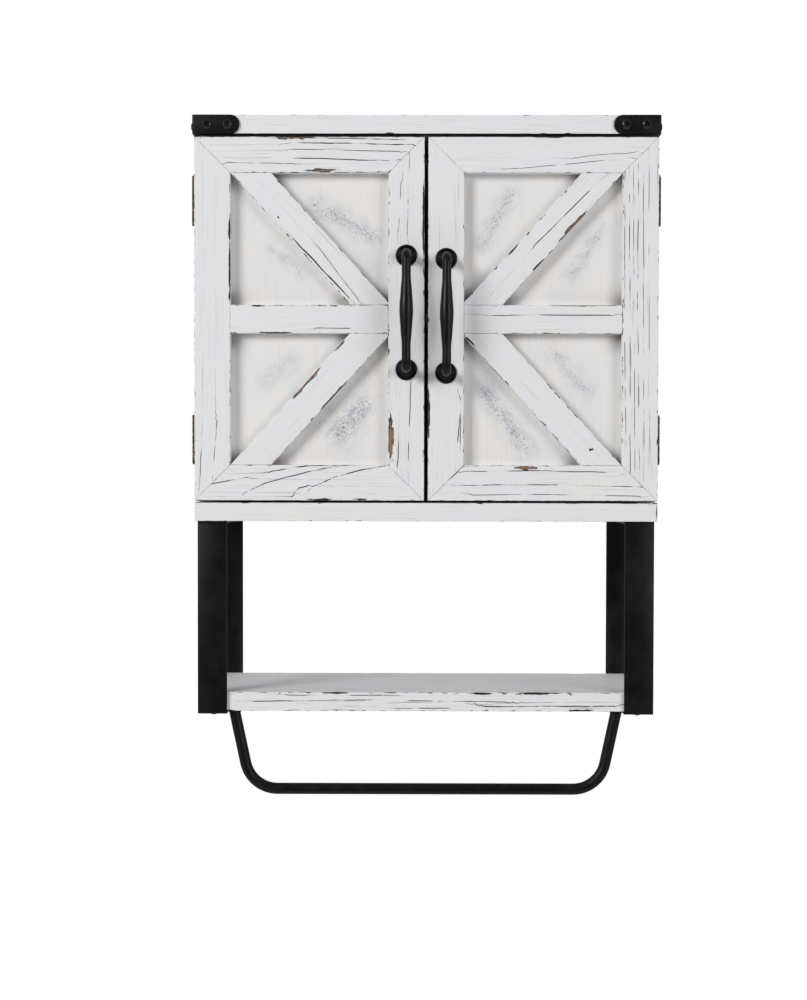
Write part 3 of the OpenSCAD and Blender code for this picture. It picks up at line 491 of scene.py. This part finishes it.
def wash(name):
    """One thin warm coat on smooth ply: chalky white, clouded by the brush, with blue-grey flecks where
    it was rubbed through, and brown grime with painted shade in the sharp corners."""
    material, tree, shader = new_finish(name)
    upright = in_mm(tree, TURNED_UP)
    cloud = stretched(tree, upright, (0.02, 0.03), 3.0, 0.55, 3.0)
    brush = stretched(tree, upright, (0.012, 0.5), 3.0, 0.6)
    stroke = add(tree, "Attribute", {"attribute_name": "stroke"}).outputs["Vector"]
    fleck = stretched(tree, stroke, (0.3, 0.62), 5.0, 0.7, 1.0)
    haze = stretched(tree, stroke, (0.06, 0.12), 3.0, 0.6, 4.0)
    rubbed, corner_dirt_and_shade, _ = add(tree, "SeparateXYZ", links=[
        add(tree, "Attribute", {"attribute_name": "rub"}).outputs["Vector"]]).outputs
    shade = add(tree, "Mix", RGBA, [
        add(tree, "MapRange", SMOOTH, [cloud, 0.35, 0.65]), colour("#E6E3DE"), colour("#E2E1E1")])
    shade = add(tree, "Mix", RGBA, [
        add(tree, "MapRange", SMOOTH, [brush, 0.52, 0.8, 0.0, 0.35]), shade, colour("#C2BFBC")])
    hazed = add(tree, "Math", TIMES, [rubbed, add(tree, "MapRange", SMOOTH, [haze, 0.35, 0.7, 0.15, 0.85])])
    shade = add(tree, "Mix", RGBA, [hazed, shade, colour("#B4B6C2")])
    # the harder a stroke rubbed, the more flecks of stain it opened
    need = add(tree, "Math", TIMES_PLUS, [rubbed, -0.19, 0.70])
    flecks = add(tree, "Math", TIMES, [
        add(tree, "MapRange", SMOOTH, [add(tree, "Math", MINUS, [fleck, need]), 0.0, 0.10]),
        add(tree, "MapRange", SMOOTH, [rubbed, 0.05, 0.5])])
    shade = add(tree, "Mix", RGBA, [add(tree, "Math", TIMES, [flecks, 0.8]), shade, colour("#62606C")])
    # the sharp corners of the fields darken to brown: partly grime, partly painted shade
    dirt_and_shade = add(tree, "Math", TIMES, [corner_dirt_and_shade, add(tree, "MapRange", SMOOTH, [cloud, 0.3, 0.7, 0.5, 1.0])])
    shade = add(tree, "Mix", RGBA, [add(tree, "Math", TIMES, [dirt_and_shade, 0.92]), shade, colour("#4E403A")])
    height = add(tree, "Math", TIMES_PLUS, [brush, 0.5, add(tree, "Math", TIMES, [flecks, -0.6])])
    join(tree, shader, {
        "Base Color": shade, "Roughness": 0.62,
        "Normal": add(tree, "Bump", links={"Height": height, "Strength": 0.5, "Distance": WASH_FILM * MM})})
    return material


white_ply = wash("thin_whitewash_on_plywood")
for side, seed in (("left", 11), ("right", 12)):
    s = -1 if side == "left" else 1
    mesh = board(side + "_door_panel_washed", [
        (s * DOOR_IN, DOOR_LOW), (s * DOOR_OUT, DOOR_LOW), (s * DOOR_OUT, DOOR_HIGH),
        (s * DOOR_IN, DOOR_HIGH)],
        PANEL_FACE, PANEL_T, UPRIGHT, seed, 0.3, pitch=5.0)
    stroke, rub = [], []
    for v in mesh.vertices:
        x, z = v.co.x / MM, v.co.z / MM
        up = z > DOOR_MID
        slant = math.radians(BRACE_LEAN) * (s if up else -s)
        along = x * math.cos(slant) + z * math.sin(slant)
        across = z * math.cos(slant) - x * math.sin(slant)
        stroke += [along, across, v.co.y / MM]
        here, rubbed = Vector((x, z)), 0.0
        for x0, z0, x1, z1, wide, strength in RUBBED[side]:
            a, b = Vector((x0, z0)), Vector((x1, z1))
            t = min(1.0, max(0.0, (here - a).dot(b - a) / (b - a).length_squared))
            gap = (here - a.lerp(b, t)).length / wide
            rubbed = max(rubbed, strength * math.exp(-gap * gap))
        folded = z if up else 2 * DOOR_MID - z
        # how near a field's sharp corner, for its grime and painted shade
        corner_dirt_and_shade = max(math.exp(-(math.hypot(s * x - cx, folded - cz) / CORNER_SHADE_RADIUS) ** 2) for cx, cz in SHARP)
        front = 1.0 if v.co.y / MM < PANEL_FACE + 1 else 0.0
        rub += [rubbed * front, corner_dirt_and_shade * front, 0.0]
    for key, values in (("stroke", stroke), ("rub", rub)):
        mesh.attributes.new(key, "FLOAT_VECTOR", "POINT").data.foreach_set("vector", values)
    hang(mesh, white_ply, side + "_door", "whitewashed_panel", side + "_door_panel")

dress(white_ply, "back_panel")

# ---------------------------------------------------------------------------
# The door frames: 12 mm fir boards, mitred at the corners, with a middle rail
# and two braces let in between. Glued and pinned to the panel, then distressed.

FIELD_LOW, FIELD_WIDE, FIELD_UP = DOOR_LOW + STILE, FIELD_OUT - FIELD_IN, FIELD_TOP - DOOR_MID - RAIL_HALF
OUTER = [(DOOR_OUT, DOOR_LOW), (DOOR_OUT, DOOR_HIGH), (FIELD_OUT, FIELD_TOP), (FIELD_OUT, FIELD_LOW)]
INNER = [(DOOR_IN, DOOR_LOW), (DOOR_IN, DOOR_HIGH), (FIELD_IN, FIELD_TOP), (FIELD_IN, FIELD_LOW)]
TOP = [(DOOR_IN, DOOR_HIGH), (DOOR_OUT, DOOR_HIGH), (FIELD_OUT, FIELD_TOP), (FIELD_IN, FIELD_TOP)]
BOTTOM = [(x, 2 * DOOR_MID - z) for x, z in TOP]
MIDDLE = [(FIELD_IN, DOOR_MID - RAIL_HALF), (FIELD_OUT, DOOR_MID - RAIL_HALF),
          (FIELD_OUT, DOOR_MID + RAIL_HALF), (FIELD_IN, DOOR_MID + RAIL_HALF)]
# a brace from its field's upper outer corner: its foot and head along the rails, and its blunt heel
BRACE_FOOT, BRACE_HEAD, HEEL = 43.3, 40.5, 3.0
BRACE = [(0, 0), (BRACE_FOOT, 0), (FIELD_WIDE, FIELD_UP - HEEL), (FIELD_WIDE, FIELD_UP),
         (FIELD_WIDE - BRACE_HEAD, FIELD_UP)]
UPPER_BRACE = [(FIELD_OUT - x, FIELD_TOP - y) for x, y in BRACE]
LOWER_BRACE = [(x, 2 * DOOR_MID - z) for x, z in UPPER_BRACE]
# the sides of each outline that butt on another board
MITRES, BUTTS, BRACE_ENDS = (1, 3), (1, 3), (0, 2, 3)
# outline, joints, and the direction of the grain on the right door
PARTS = {
    "outer_stile": (OUTER, MITRES, 90),
    "inner_stile": (INNER, MITRES, 90),
    "top_rail": (TOP, MITRES, 0),
    "bottom_rail": (BOTTOM, MITRES, 0),
    "mid_rail": (MIDDLE, BUTTS, 0),
    "upper_brace": (UPPER_BRACE, BRACE_ENDS, BRACE_LEAN),
    "lower_brace": (LOWER_BRACE, BRACE_ENDS, -BRACE_LEAN),
}
# seed, chipped, broken, lined, checks, chips
DISTRESS = {
    "left_outer_stile": (21, 0.75, 0.2, 0.35, [
        (0.8, [(-240, -345), (-237, -285)]), (0.8, [(-226, -336), (-221, -272)])],
        [(-207.6, -72, 14, 1.3), (-207.6, -110, 30, 1.1), (-207.5, -137, 8, 1.1)]),
    "left_inner_stile": (22, 1.0, 0.3, 0.6, [
        (0.9, [(-20, -79), (-19, -5)]), (0.6, [(-29, -70), (-27, -21)]), (0.9, [(-30, -320), (-27, -229)]),
        (0.8, [(-19, -320), (-16, -231)])],
        [(-37.5, -289, 24, 3.0, 1), (-3.0, -60, 45, 1.2)]),
    "left_top_rail": (23, 1.0, 0.1, 0.75, [
        (0.9, [(-120, 26), (-16, 24)]), (1.2, [(-141, 21), (-13, 19)]), (0.7, [(-141, 14), (-28, 12)]),
        (1.0, [(-147, 5), (-33, 2)]), (0.6, [(-211, 0), (-137, -1)]), (0.9, [(-39.5, -10), (-26, 3.5)])],
        [(-141, 26.6, 22, 2.2, 1), (-109, -8.2, 17, 1.8, 1)]),
    "left_bottom_rail": (24, 1.0, 0.15, 0.3, [
        (0.9, [(-235, -340), (-190, -332)]),
        (1.0, [(-195, -353), (-190, -347), (-170, -338), (-149, -332), (-116, -324), (-91, -319),
               (-74, -318)]),
        (1.1, [(-164, -325), (-130, -320), (-99, -319)]),
        (1.1, [(-126, -350), (-121, -342), (-99, -332), (-66, -323), (-41, -319)]),
        (1.2, [(-139, -351), (-134, -343), (-126, -341)])],
        [(-110, -355.2, 14, 1.3), (-70, -355, 7, 1.2)]),
    "left_mid_rail": (25, 0.9, 0.3, 0.3, [(0.8, [(-116, -174), (-79, -174)])],
                      [(-179, -150.4, 9, 1.2), (-157, -179, 17, 1.0), (-98, -150.4, 4, 1.0)]),
    "left_upper_brace": (26, 0.9, 0.1, 0.45, [
        (1.5, [(-139, -81.5), (-83, -140.5)]), (0.7, [(-110, -94), (-71, -145)])],
        [(-157, -58, 4, 1.0)]),
    "left_lower_brace": (27, 0.8, 0.3, 0.2, [], [
        (-93, -191, 8, 4.4), (-121, -222, 10, 4.8, 1), (-135, -238, 12, 4.6, 1), (-98, -246, 22, 1.2)]),
    "right_outer_stile": (31, 0.9, 0.45, 0.9, [
        (0.7, [(212, -336), (209, -155), (209, 9)]), (0.8, [(216, -336), (215, -155), (213, 9)]),
        (0.6, [(221, -330), (219, -144), (218, 5)]), (0.8, [(226, -336), (223, -155), (223, 12)]),
        (0.6, [(231, -336), (229, -155), (228, 15)]), (0.5, [(237, -330), (235, -150), (234, 18)])],
        []),
    "right_inner_stile": (32, 0.9, 0.9, 0.5, [
        (0.6, [(32, -75), (29, -28)]), (1.0, [(33, -297), (38, -248)]), (0.9, [(18, -316), (21, -298)]),
        (0.8, [(36, -300), (37, -262)]), (0.8, [(37, -252), (31.5, -234)])], [(2.8, -262, 28, 1.3)]),
    "right_top_rail": (33, 0.6, 0.2, 0.25, [
        (0.6, [(38, -8), (97, -6), (141, -2), (214, 5)]), (0.5, [(155, 5), (186, 9), (216, 10)])],
        [(130, 27.0, 16, 0.9)]),
    "right_bottom_rail": (34, 0.8, 0.2, 0.5, [
        (0.9, [(40, -325), (113, -324), (203, -326)]), (0.9, [(29, -340), (113, -339), (232, -341)]),
        (0.7, [(48, -350), (113, -349), (227, -351)]), (1.1, [(23, -335.8), (39.5, -319.3)])],
        [(107, -321.5, 12, 2.2, 1)]),
    "right_mid_rail": (35, 0.9, 0.0, 0.2, [(1.0, [(64, -161), (97, -160), (194, -160)])],
                       [(126, -179, 4, 1.4), (170, -149.6, 38, 0.9)]),
    "right_upper_brace": (36, 0.9, 0.2, 0.4, [
        (1.0, [(186, -15), (155, -46), (131, -70), (113, -87)])],
        [(155, -66.5, 22, 2.8, 1), (118, -107.5, 10, 1.2), (91, -92, 13, 0.9), (85, -146, 4, 1.8, 1)]),
    "right_lower_brace": (37, 1.3, 0.5, 0.3, [], [(174, -302, 2.2, 2.4), (47, -188, 8, 1.0)]),
}
for side in ("left", "right"):
    s = -1 if side == "left" else 1
    for part, (outline, joints, lean) in PARTS.items():
        node = f"{side}_{part}"
        seed, chipped, broken, lined, checks, chips = DISTRESS[node]
        turn = math.radians(lean)
        grain = UPRIGHT if lean == 90 else Vector((s * math.cos(turn), 0, math.sin(turn)))
        # the rails' edges on the door gaps get the same dark strip of painted gap shade
        mesh = board(node + "_painted", [(s * x, z) for x, z in outline], FRAME_FACE, FRAME_T, grain,
                     seed, chipped, broken, lined, joints, checks, chips,
                     gap_shaded=(0,) if part in ("top_rail", "bottom_rail") else ())
        hang(mesh, white_wood, side + "_door", "whitewashed_wood", node)

# ---------------------------------------------------------------------------
# The open shelf: 20 mm fir board that lies on the hanger frames' lower bars,
# held by screws from below. Its front edge is knocked and chipped.

mesh = board("lower_shelf_painted", [(-242.5, -581), (242.5, -581), (242.5, -561), (-242.5, -561)],
             -161.6, 158.2, LEVEL, 4, 1.15, 0.3, 1.0, (), [
                 (0.9, [(-190, -571), (-60, -569), (90, -571)]), (1.1, [(60, -576), (200, -575)]),
                 (0.8, [(-150, -564), (-20, -564)]), (0.9, [(-30, -578), (40, -577.5)])],
             [(120, -561.8, 22, 1.6), (60, -562, 13, 1.3), (-95, -561.8, 12, 1.2),
              (165, -580, 15, 1.3)], 9.0)
hang(mesh, white_wood, "cabinet", "whitewashed_wood", "lower_shelf")

# ---------------------------------------------------------------------------
# Corner straps: 20 x 2 mm steel bent round the top board's front corners, with
# round ends, powder coated black. Two pan-head screws hold each leg.

STRAP_X, STRAP_Y, STRAP_LOW, STRAP_HIGH, STRAP_T, STRAP_LEG = 247.0, -172.0, 30.0, 50.0, 2.0, 50.0
NEAR = 0.1
# the patches, in mm, where handling has dulled a black coat
DULLED = 22


def coat(name, code, rough, grit, depth, gleam=0.2):
    """Baked black coat on steel or zinc: near black, a broad soft sheen, and a fine grit or casting
    swell that breaks the highlight. grit is its size and depth its height, in mm; gleam its gloss.
    In another colour it does for a moulded plastic, whose skin is as even."""
    material, tree, shader = new_finish(name)
    place = add(tree, "TexCoord").outputs["Object"]
    speck = add(tree, "TexNoise", links={"Vector": place, "Scale": 1 / (grit * MM), "Detail": 3.0})
    dull = add(tree, "TexNoise", links={"Vector": place, "Scale": 1 / (DULLED * MM), "Detail": 4.0})
    shade = add(tree, "Mix", RGBA, [
        add(tree, "MapRange", SMOOTH, [dull, 0.45, 0.75, 0.0, 0.35]), colour(code), colour("#141415")])
    join(tree, shader, {
        "Base Color": shade, "IOR": 1.5, "Specular IOR Level": gleam,
        "Roughness": add(tree, "MapRange", SMOOTH, [dull, 0.3, 0.7, rough - 0.06, rough + 0.08]),
        "Normal": add(tree, "Bump", links={"Height": speck, "Strength": 0.35, "Distance": depth * MM})})
    return material


# the grit of the real coat is 0.1 mm; it is drawn at 0.8 mm so that it shows
black_coat = coat("fine_textured_black_powder_coat", "#070708", 0.44, 0.8, 0.05)


def soften(bm, edges, offset, segments):
    bmesh.ops.bevel(bm, geom=edges, offset=offset, offset_type="OFFSET", segments=segments,
                    profile=0.5, affect="EDGES", material=-1)


def lies(edge, axis):
    """True if the edge runs along that axis."""
    run = edge.verts[1].co - edge.verts[0].co
    return abs(run[axis]) > 0.999 * run.length


def rims(bm):
    """The edges that turn sharply."""
    return [e for e in bm.edges if len(e.link_faces) == 2 and e.calc_face_angle(0) > math.radians(60)]


def new_verts(grown):
    return [g for g in grown if isinstance(g, bmesh.types.BMVert)]


def as_mesh(bm, name, smooth=40):
    """Scales from mm to metres, points the faces outwards and shades smooth below that many degrees."""
    bmesh.ops.remove_doubles(bm, verts=bm.verts, dist=TOUCH / 10)
    bmesh.ops.recalc_face_normals(bm, faces=bm.faces)
    for f in bm.faces:
        f.smooth = True
    for e in bm.edges:
        e.smooth = len(e.link_faces) == 2 and e.calc_face_angle(0) < math.radians(smooth)
    bmesh.ops.scale(bm, verts=bm.verts, vec=(MM, MM, MM))
    mesh = bpy.data.meshes.new(name)
    bm.to_mesh(mesh)
    bm.free()
    return mesh


for side in ("left", "right"):
    s = -1 if side == "left" else 1
    x, y, t = STRAP_X, STRAP_Y, STRAP_T
    bm = bmesh.new()
    bend = [(x, y), (x, y + STRAP_LEG), (x - t, y + STRAP_LEG), (x - t, y + t), (x - STRAP_LEG, y + t),
            (x - STRAP_LEG, y)]
    face = bm.faces.new([bm.verts.new((s * px, py, STRAP_LOW)) for px, py in bend])
    grown = bmesh.ops.extrude_face_region(bm, geom=[face], use_keep_orig=True)["geom"]
    bmesh.ops.translate(bm, verts=new_verts(grown), vec=(0, 0, STRAP_HIGH - STRAP_LOW))
    ends = [e for e in bm.edges if (lies(e, 0) and abs(e.verts[0].co.y - y - STRAP_LEG) < NEAR)
            or (lies(e, 1) and abs(abs(e.verts[0].co.x) - x + STRAP_LEG) < NEAR)]
    soften(bm, ends, (STRAP_HIGH - STRAP_LOW) / 2 - 0.3, 8)
    corner = [e for e in bm.edges if lies(e, 2) and abs(abs(e.verts[0].co.x) - x) < NEAR
              and abs(e.verts[0].co.y - y) < NEAR]
    soften(bm, corner, t, 4)
    soften(bm, rims(bm), 0.3, 2)
    hang(as_mesh(bm, side + "_corner_strap_coated"), black_coat, "cabinet", "black_powder_coat",
         "corner_strap_" + side)

# ---------------------------------------------------------------------------
# Hanger frames: 31 x 3 mm flat bar bent to a closed loop and welded, powder
# coated black like the straps. Two pan-head screws hang each under the case.

HANGER_IN, HANGER_OUT, HANGER_FRONT, BAR = 211.5, 242.5, -165.0, 3.0
HANGER_LOW, HANGER_HIGH = -584.0, -378.0
for side in ("left", "right"):
    s = -1 if side == "left" else 1
    bm = bmesh.new()
    loop = [(HANGER_FRONT, HANGER_LOW), (0, HANGER_LOW), (0, HANGER_HIGH), (HANGER_FRONT, HANGER_HIGH)]
    face = bm.faces.new([bm.verts.new((s * HANGER_IN, y, z)) for y, z in loop])
    bm.normal_update()
    bmesh.ops.inset_individual(bm, faces=[face], thickness=BAR, use_even_offset=True)
    bmesh.ops.delete(bm, geom=[face], context="FACES")
    grown = bmesh.ops.extrude_face_region(bm, geom=bm.faces[:], use_keep_orig=True)["geom"]
    bmesh.ops.translate(bm, verts=new_verts(grown), vec=(s * (HANGER_OUT - HANGER_IN), 0, 0))
    bends = [e for e in bm.edges if lies(e, 0) and abs(e.verts[0].co.z - HANGER_LOW) < NEAR]
    soften(bm, bends, 2.6, 4)
    soften(bm, rims(bm), 0.35, 2)
    hang(as_mesh(bm, side + "_hanger_frame_coated"), black_coat, "cabinet", "black_powder_coat",
         "hanger_frame_" + side)

# ---------------------------------------------------------------------------
# Towel bar: 12 mm steel rod bent to a wide U, its arms leaning in, welded to
# two small foot plates that are screwed up into the shelf. Powder coated black.

ROD_R, ROD_Y, BEND_R, LEAN = 6.0, -149.6, 35.0, math.radians(12)
BEND_STEPS = 14
BEND_X, BAR_Z, FOOT_X, FOOT_Z = 158.77, -666.5, 205.07, -582.0
# the right foot plate's two ends in x, in y and in z
PLATE = (197.2, 211.2, -156.6, -112.6, -583.0, -581.0)
RING = 32


def draw_out(bm, ring, shift, swell=1.0):
    """Extrudes a ring of edges by shift, swelling it about its own middle."""
    grown = bmesh.ops.extrude_edge_only(bm, edges=ring)["geom"]
    new = new_verts(grown)
    bmesh.ops.translate(bm, verts=new, vec=shift)
    centre = sum((v.co for v in new), Vector()) / len(new)
    bmesh.ops.scale(bm, verts=new, vec=(swell, swell, swell), space=Matrix.Translation(-centre))
    news = set(new)
    return [g for g in grown if isinstance(g, bmesh.types.BMEdge) and set(g.verts) <= news]


def swing(bm, ring, centre, axis, angle, steps):
    """Spins a ring of edges round centre and gives the last ring."""
    last = bmesh.ops.spin(bm, geom=ring, cent=centre, axis=axis, angle=angle, steps=steps,
                          use_merge=False, use_duplicate=False)["geom_last"]
    return [g for g in last if isinstance(g, bmesh.types.BMEdge)]


def ring_at(bm, centre, facing, radius):
    place = Matrix.Translation(centre) @ Vector(facing).to_track_quat("Z", "Y").to_matrix().to_4x4()
    made = bmesh.ops.create_circle(bm, segments=RING, radius=radius, matrix=place)["verts"]
    return list({e for v in made for e in v.link_edges})


bm = bmesh.new()
turn = math.pi / 2 - LEAN
arm_end = Vector((-BEND_X - BEND_R * math.cos(LEAN), ROD_Y, BAR_Z + BEND_R - BEND_R * math.sin(LEAN)))
start = Vector((-FOOT_X, ROD_Y, FOOT_Z))
ring = ring_at(bm, start, arm_end - start, ROD_R)
first = ring
ring = draw_out(bm, ring, arm_end - start)
ring = swing(bm, ring, (-BEND_X, ROD_Y, BAR_Z + BEND_R), (0, -1, 0), turn, BEND_STEPS)
ring = draw_out(bm, ring, Vector((2 * BEND_X, 0, 0)))
ring = swing(bm, ring, (BEND_X, ROD_Y, BAR_Z + BEND_R), (0, -1, 0), turn, BEND_STEPS)
last = draw_out(bm, ring, Vector((FOOT_X, ROD_Y, FOOT_Z)) - Vector((-arm_end.x, arm_end.y, arm_end.z)))
for end in (first, last):
    bmesh.ops.contextual_create(bm, geom=end)
x0, x1, y0, y1, z0, z1 = PLATE
for s in (-1, 1):
    made = bmesh.ops.create_cube(bm, size=1.0)["verts"]
    bmesh.ops.scale(bm, verts=made, vec=(x1 - x0, y1 - y0, z1 - z0))
    bmesh.ops.translate(bm, verts=made, vec=(s * (x0 + x1) / 2, (y0 + y1) / 2, (z0 + z1) / 2))
    soften(bm, list({e for v in made for e in v.link_edges}), 0.5, 2)
hang(as_mesh(bm, "towel_bar_coated"), black_coat, "cabinet", "black_powder_coat", "towel_bar")

# ---------------------------------------------------------------------------
# The screws of the straps, frames and towel bar: pan heads with a cross
# recess, blackened and glossier than the coat round them.

# black oxide is smooth and thin, so it gives small hard highlights
dress(coat("black_oxide_screw_steel", "#0A0A0B", 0.28, 1.6, 0.02, 0.45),
      "corner_strap_screws", "hanger_top_screws", "hanger_shelf_screws", "towel_bar_screws")

# ---------------------------------------------------------------------------
# Pull handles: cast zinc, painted satin black. A barrel grip on two necks, each
# turning back to a ringed rosette that is screwed on from inside the door.

HANDLE_X, FOOT_UP, STANDOFF, ELBOW_R = 21.0, 60.0, 30.0, 9.0
NECK_R, SHOULDER_R, GRIP_R, BARREL, SHOULDER = 4.7, 6.1, 7.2, 17.0, 20.0
# a rosette from its middle out and back: radius, height
ROSETTE = [(0, 0), (11.5, 0), (11.5, 0.9), (11.2, 1.7), (10.5, 2.3), (9.6, 2.4), (9.0, 2.0), (8.7, 1.5),
           (8.2, 1.6), (7.7, 2.3), (7.0, 2.9), (6.2, 3.2), (5.8, 4.1), (5.2, 4.9), (4.4, 5.0), (0, 5.0)]
# how far out the neck starts, inside the rosette, and the steps round an elbow, down a shoulder and
# along half the barrel
NECK_OUT, ELBOW_STEPS, SHOULDER_STEPS, BARREL_STEPS = 2, 10, 6, 10
# the casting's slow swell shows under the paint as a wavering highlight
black_cast = coat("satin_black_paint_on_cast_zinc", "#09090A", 0.36, 5.0, 0.12)


def grip_radius(z):
    """The barrel's belly to its shoulders, then the hollow down to the neck."""
    z = abs(z)
    if z < BARREL:
        return SHOULDER_R + (GRIP_R - SHOULDER_R) * math.cos(math.pi / 2 * z / BARREL)
    t = min(1.0, (z - BARREL) / SHOULDER)
    return NECK_R + (SHOULDER_R - NECK_R) * (1 + math.cos(math.pi * t)) / 2


for side, lift in (("left", 7.0), ("right", 3.5)):
    x, z = (-HANDLE_X if side == "left" else HANDLE_X), DOOR_MID + lift
    bm = bmesh.new()
    back = FRAME_FACE
    reach, out = FOOT_UP - ELBOW_R, STANDOFF - ELBOW_R
    ring = ring_at(bm, (x, back - NECK_OUT, z + FOOT_UP), (0, -1, 0), NECK_R)
    first = ring
    ring = draw_out(bm, ring, Vector((0, NECK_OUT - out, 0)))
    ring = swing(bm, ring, (x, back - out, z + reach), (1, 0, 0), math.pi / 2, ELBOW_STEPS)
    upper = [reach] + [BARREL + SHOULDER * i / SHOULDER_STEPS for i in range(SHOULDER_STEPS, -1, -1)]
    upper += [BARREL * i / BARREL_STEPS for i in range(BARREL_STEPS - 1, 0, -1)]
    stops = upper + [0.0] + [-stop for stop in reversed(upper)]
    for up, down in zip(stops, stops[1:]):
        ring = draw_out(bm, ring, Vector((0, 0, down - up)), grip_radius(down) / grip_radius(up))
    ring = swing(bm, ring, (x, back - out, z - reach), (1, 0, 0), math.pi / 2, ELBOW_STEPS)
    last = draw_out(bm, ring, Vector((0, out - NECK_OUT, 0)))
    for end in (first, last):
        bmesh.ops.contextual_create(bm, geom=end)
    for foot in (-FOOT_UP, FOOT_UP):
        line = [bm.verts.new((x + r, back - h, z + foot)) for r, h in ROSETTE]
        edges = [bm.edges.new(pair) for pair in zip(line, line[1:])]
        bmesh.ops.spin(bm, geom=line + edges, cent=(x, back, z + foot), axis=(0, 1, 0),
                       angle=2 * math.pi, steps=48, use_merge=True, use_duplicate=False)
    hang(as_mesh(bm, side + "_handle_cast", 50), black_cast, side + "_door", "black_cast_metal",
         side + "_handle")

# ---------------------------------------------------------------------------
# Butt hinges: stamped steel leaves with a small leaf pattern, plated antique
# bronze and rubbed on the high spots. Their pins and screws are plated too.


def bronze(name, stamped):
    """Antique bronze plate: dark olive brown in the hollows, worn to dull gold on the stamping."""
    material, tree, shader = new_finish(name)
    place = in_mm(tree)
    # the stamping: cells of 3 mm, cut through by curls of 8 mm
    cells = add(tree, "TexVoronoi", {"feature": "SMOOTH_F1"}, {
        "Vector": place, "Scale": 0.34, "Smoothness": 0.3})
    grime = add(tree, "TexNoise", links={"Vector": place, "Scale": 0.25, "Detail": 4.0})
    curls = add(tree, "TexWave", {"wave_type": "RINGS"}, {
        "Vector": place, "Scale": 0.13, "Distortion": 5.0, "Detail": 2.0, "Detail Scale": 1.2})
    raised = add(tree, "Math", TIMES, [
        add(tree, "MapRange", SMOOTH, [cells, 0.15, 0.5, 1.0, 0.0]),
        add(tree, "MapRange", SMOOTH, [curls, 0.25, 0.6])])
    raised = add(tree, "Math", TIMES, [raised, stamped])
    rubbed = add(tree, "Math", TIMES, [
        add(tree, "Math", MOST, [raised, 0.25]), add(tree, "MapRange", SMOOTH, [grime, 0.38, 0.62])])
    join(tree, shader, {
        "Base Color": add(tree, "Mix", RGBA, [rubbed, colour("#332C20"), colour("#A8946A")]),
        "Metallic": 1.0, "Roughness": add(tree, "MapRange", SMOOTH, [rubbed, 0.0, 1.0, 0.52, 0.32]),
        "Normal": add(tree, "Bump", links={"Height": raised, "Strength": 0.8, "Distance": 0.3 * MM})})
    return material


HINGES = [f"{side}_{level}" for side in ("left", "right") for level in ("upper", "lower")]
dress(bronze("stamped_antique_bronze_plate", 1.0),
      *(f"{hinge}_{kind}_leaf" for hinge in HINGES for kind in ("case", "door")))
dress(bronze("plain_antique_bronze_plate", 0.25), *(f"{hinge}_hinge_pin" for hinge in HINGES),
      "left_door_screws", "right_door_screws", "case_leaf_screws")

# ---------------------------------------------------------------------------
# Small zinc-plated steel: panel nails, shelf pins, catch screws, handle screws
# and the doors' strike plates. Bright, faintly blue and cloudy.

# plated zinc grows in spangles of a few mm, each a shade apart in gloss, under a thin milky haze
SPANGLE, HAZE = 2.2, 4
zinc, tree, shader = new_finish("bright_zinc_plated_steel")
place = add(tree, "TexCoord").outputs["Object"]
spangle = add(tree, "TexVoronoi", links={"Vector": place, "Scale": 1 / (SPANGLE * MM)})
haze = add(tree, "TexNoise", links={"Vector": place, "Scale": 1 / (HAZE * MM), "Detail": 4.0})
join(tree, shader, {
    "Base Color": add(tree, "Mix", RGBA, [
        add(tree, "MapRange", SMOOTH, [haze, 0.3, 0.7]), colour("#C4C6CA"), colour("#A9ACB2")]),
    "Metallic": 1.0, "Roughness": add(tree, "MapRange", SMOOTH, [spangle, 0.1, 0.7, 0.28, 0.42]),
    "Normal": add(tree, "Bump", links={"Height": haze, "Strength": 0.2, "Distance": 0.03 * MM})})
dress(zinc, "back_panel_nails", "shelf_pins", "catch_screws", "left_handle_screws", "right_handle_screws",
      "left_strike_plate", "right_strike_plate")

# ---------------------------------------------------------------------------
# Magnetic catches: moulded brown ABS housings with a magnet inside, screwed up
# under the front of the top board, one behind each door's strike plate.

# the moulded plastic has a low even sheen and a fine spark-eroded grain
dress(coat("moulded_brown_abs", "#5A4331", 0.42, 0.9, 0.03, 0.5), "magnetic_catches")

# ---------------------------------------------------------------------------
# Dowels: plain turned beech, glued in the joints between the boards, the side
# panels and the hanging rail. They are out of sight once the case is together.

# pale wood with the short darker flecks of beech along it
beech, tree, shader = new_finish("turned_beech_dowel")
flecks = stretched(tree, in_mm(tree), (0.15, 1.2), 3.0, 0.6)
join(tree, shader, {"Roughness": 0.55, "Base Color": add(tree, "Mix", RGBA, [
    add(tree, "MapRange", SMOOTH, [flecks, 0.4, 0.65]), colour("#D3A97C"), colour("#B98A5E")])})
dress(beech, "case_dowels")
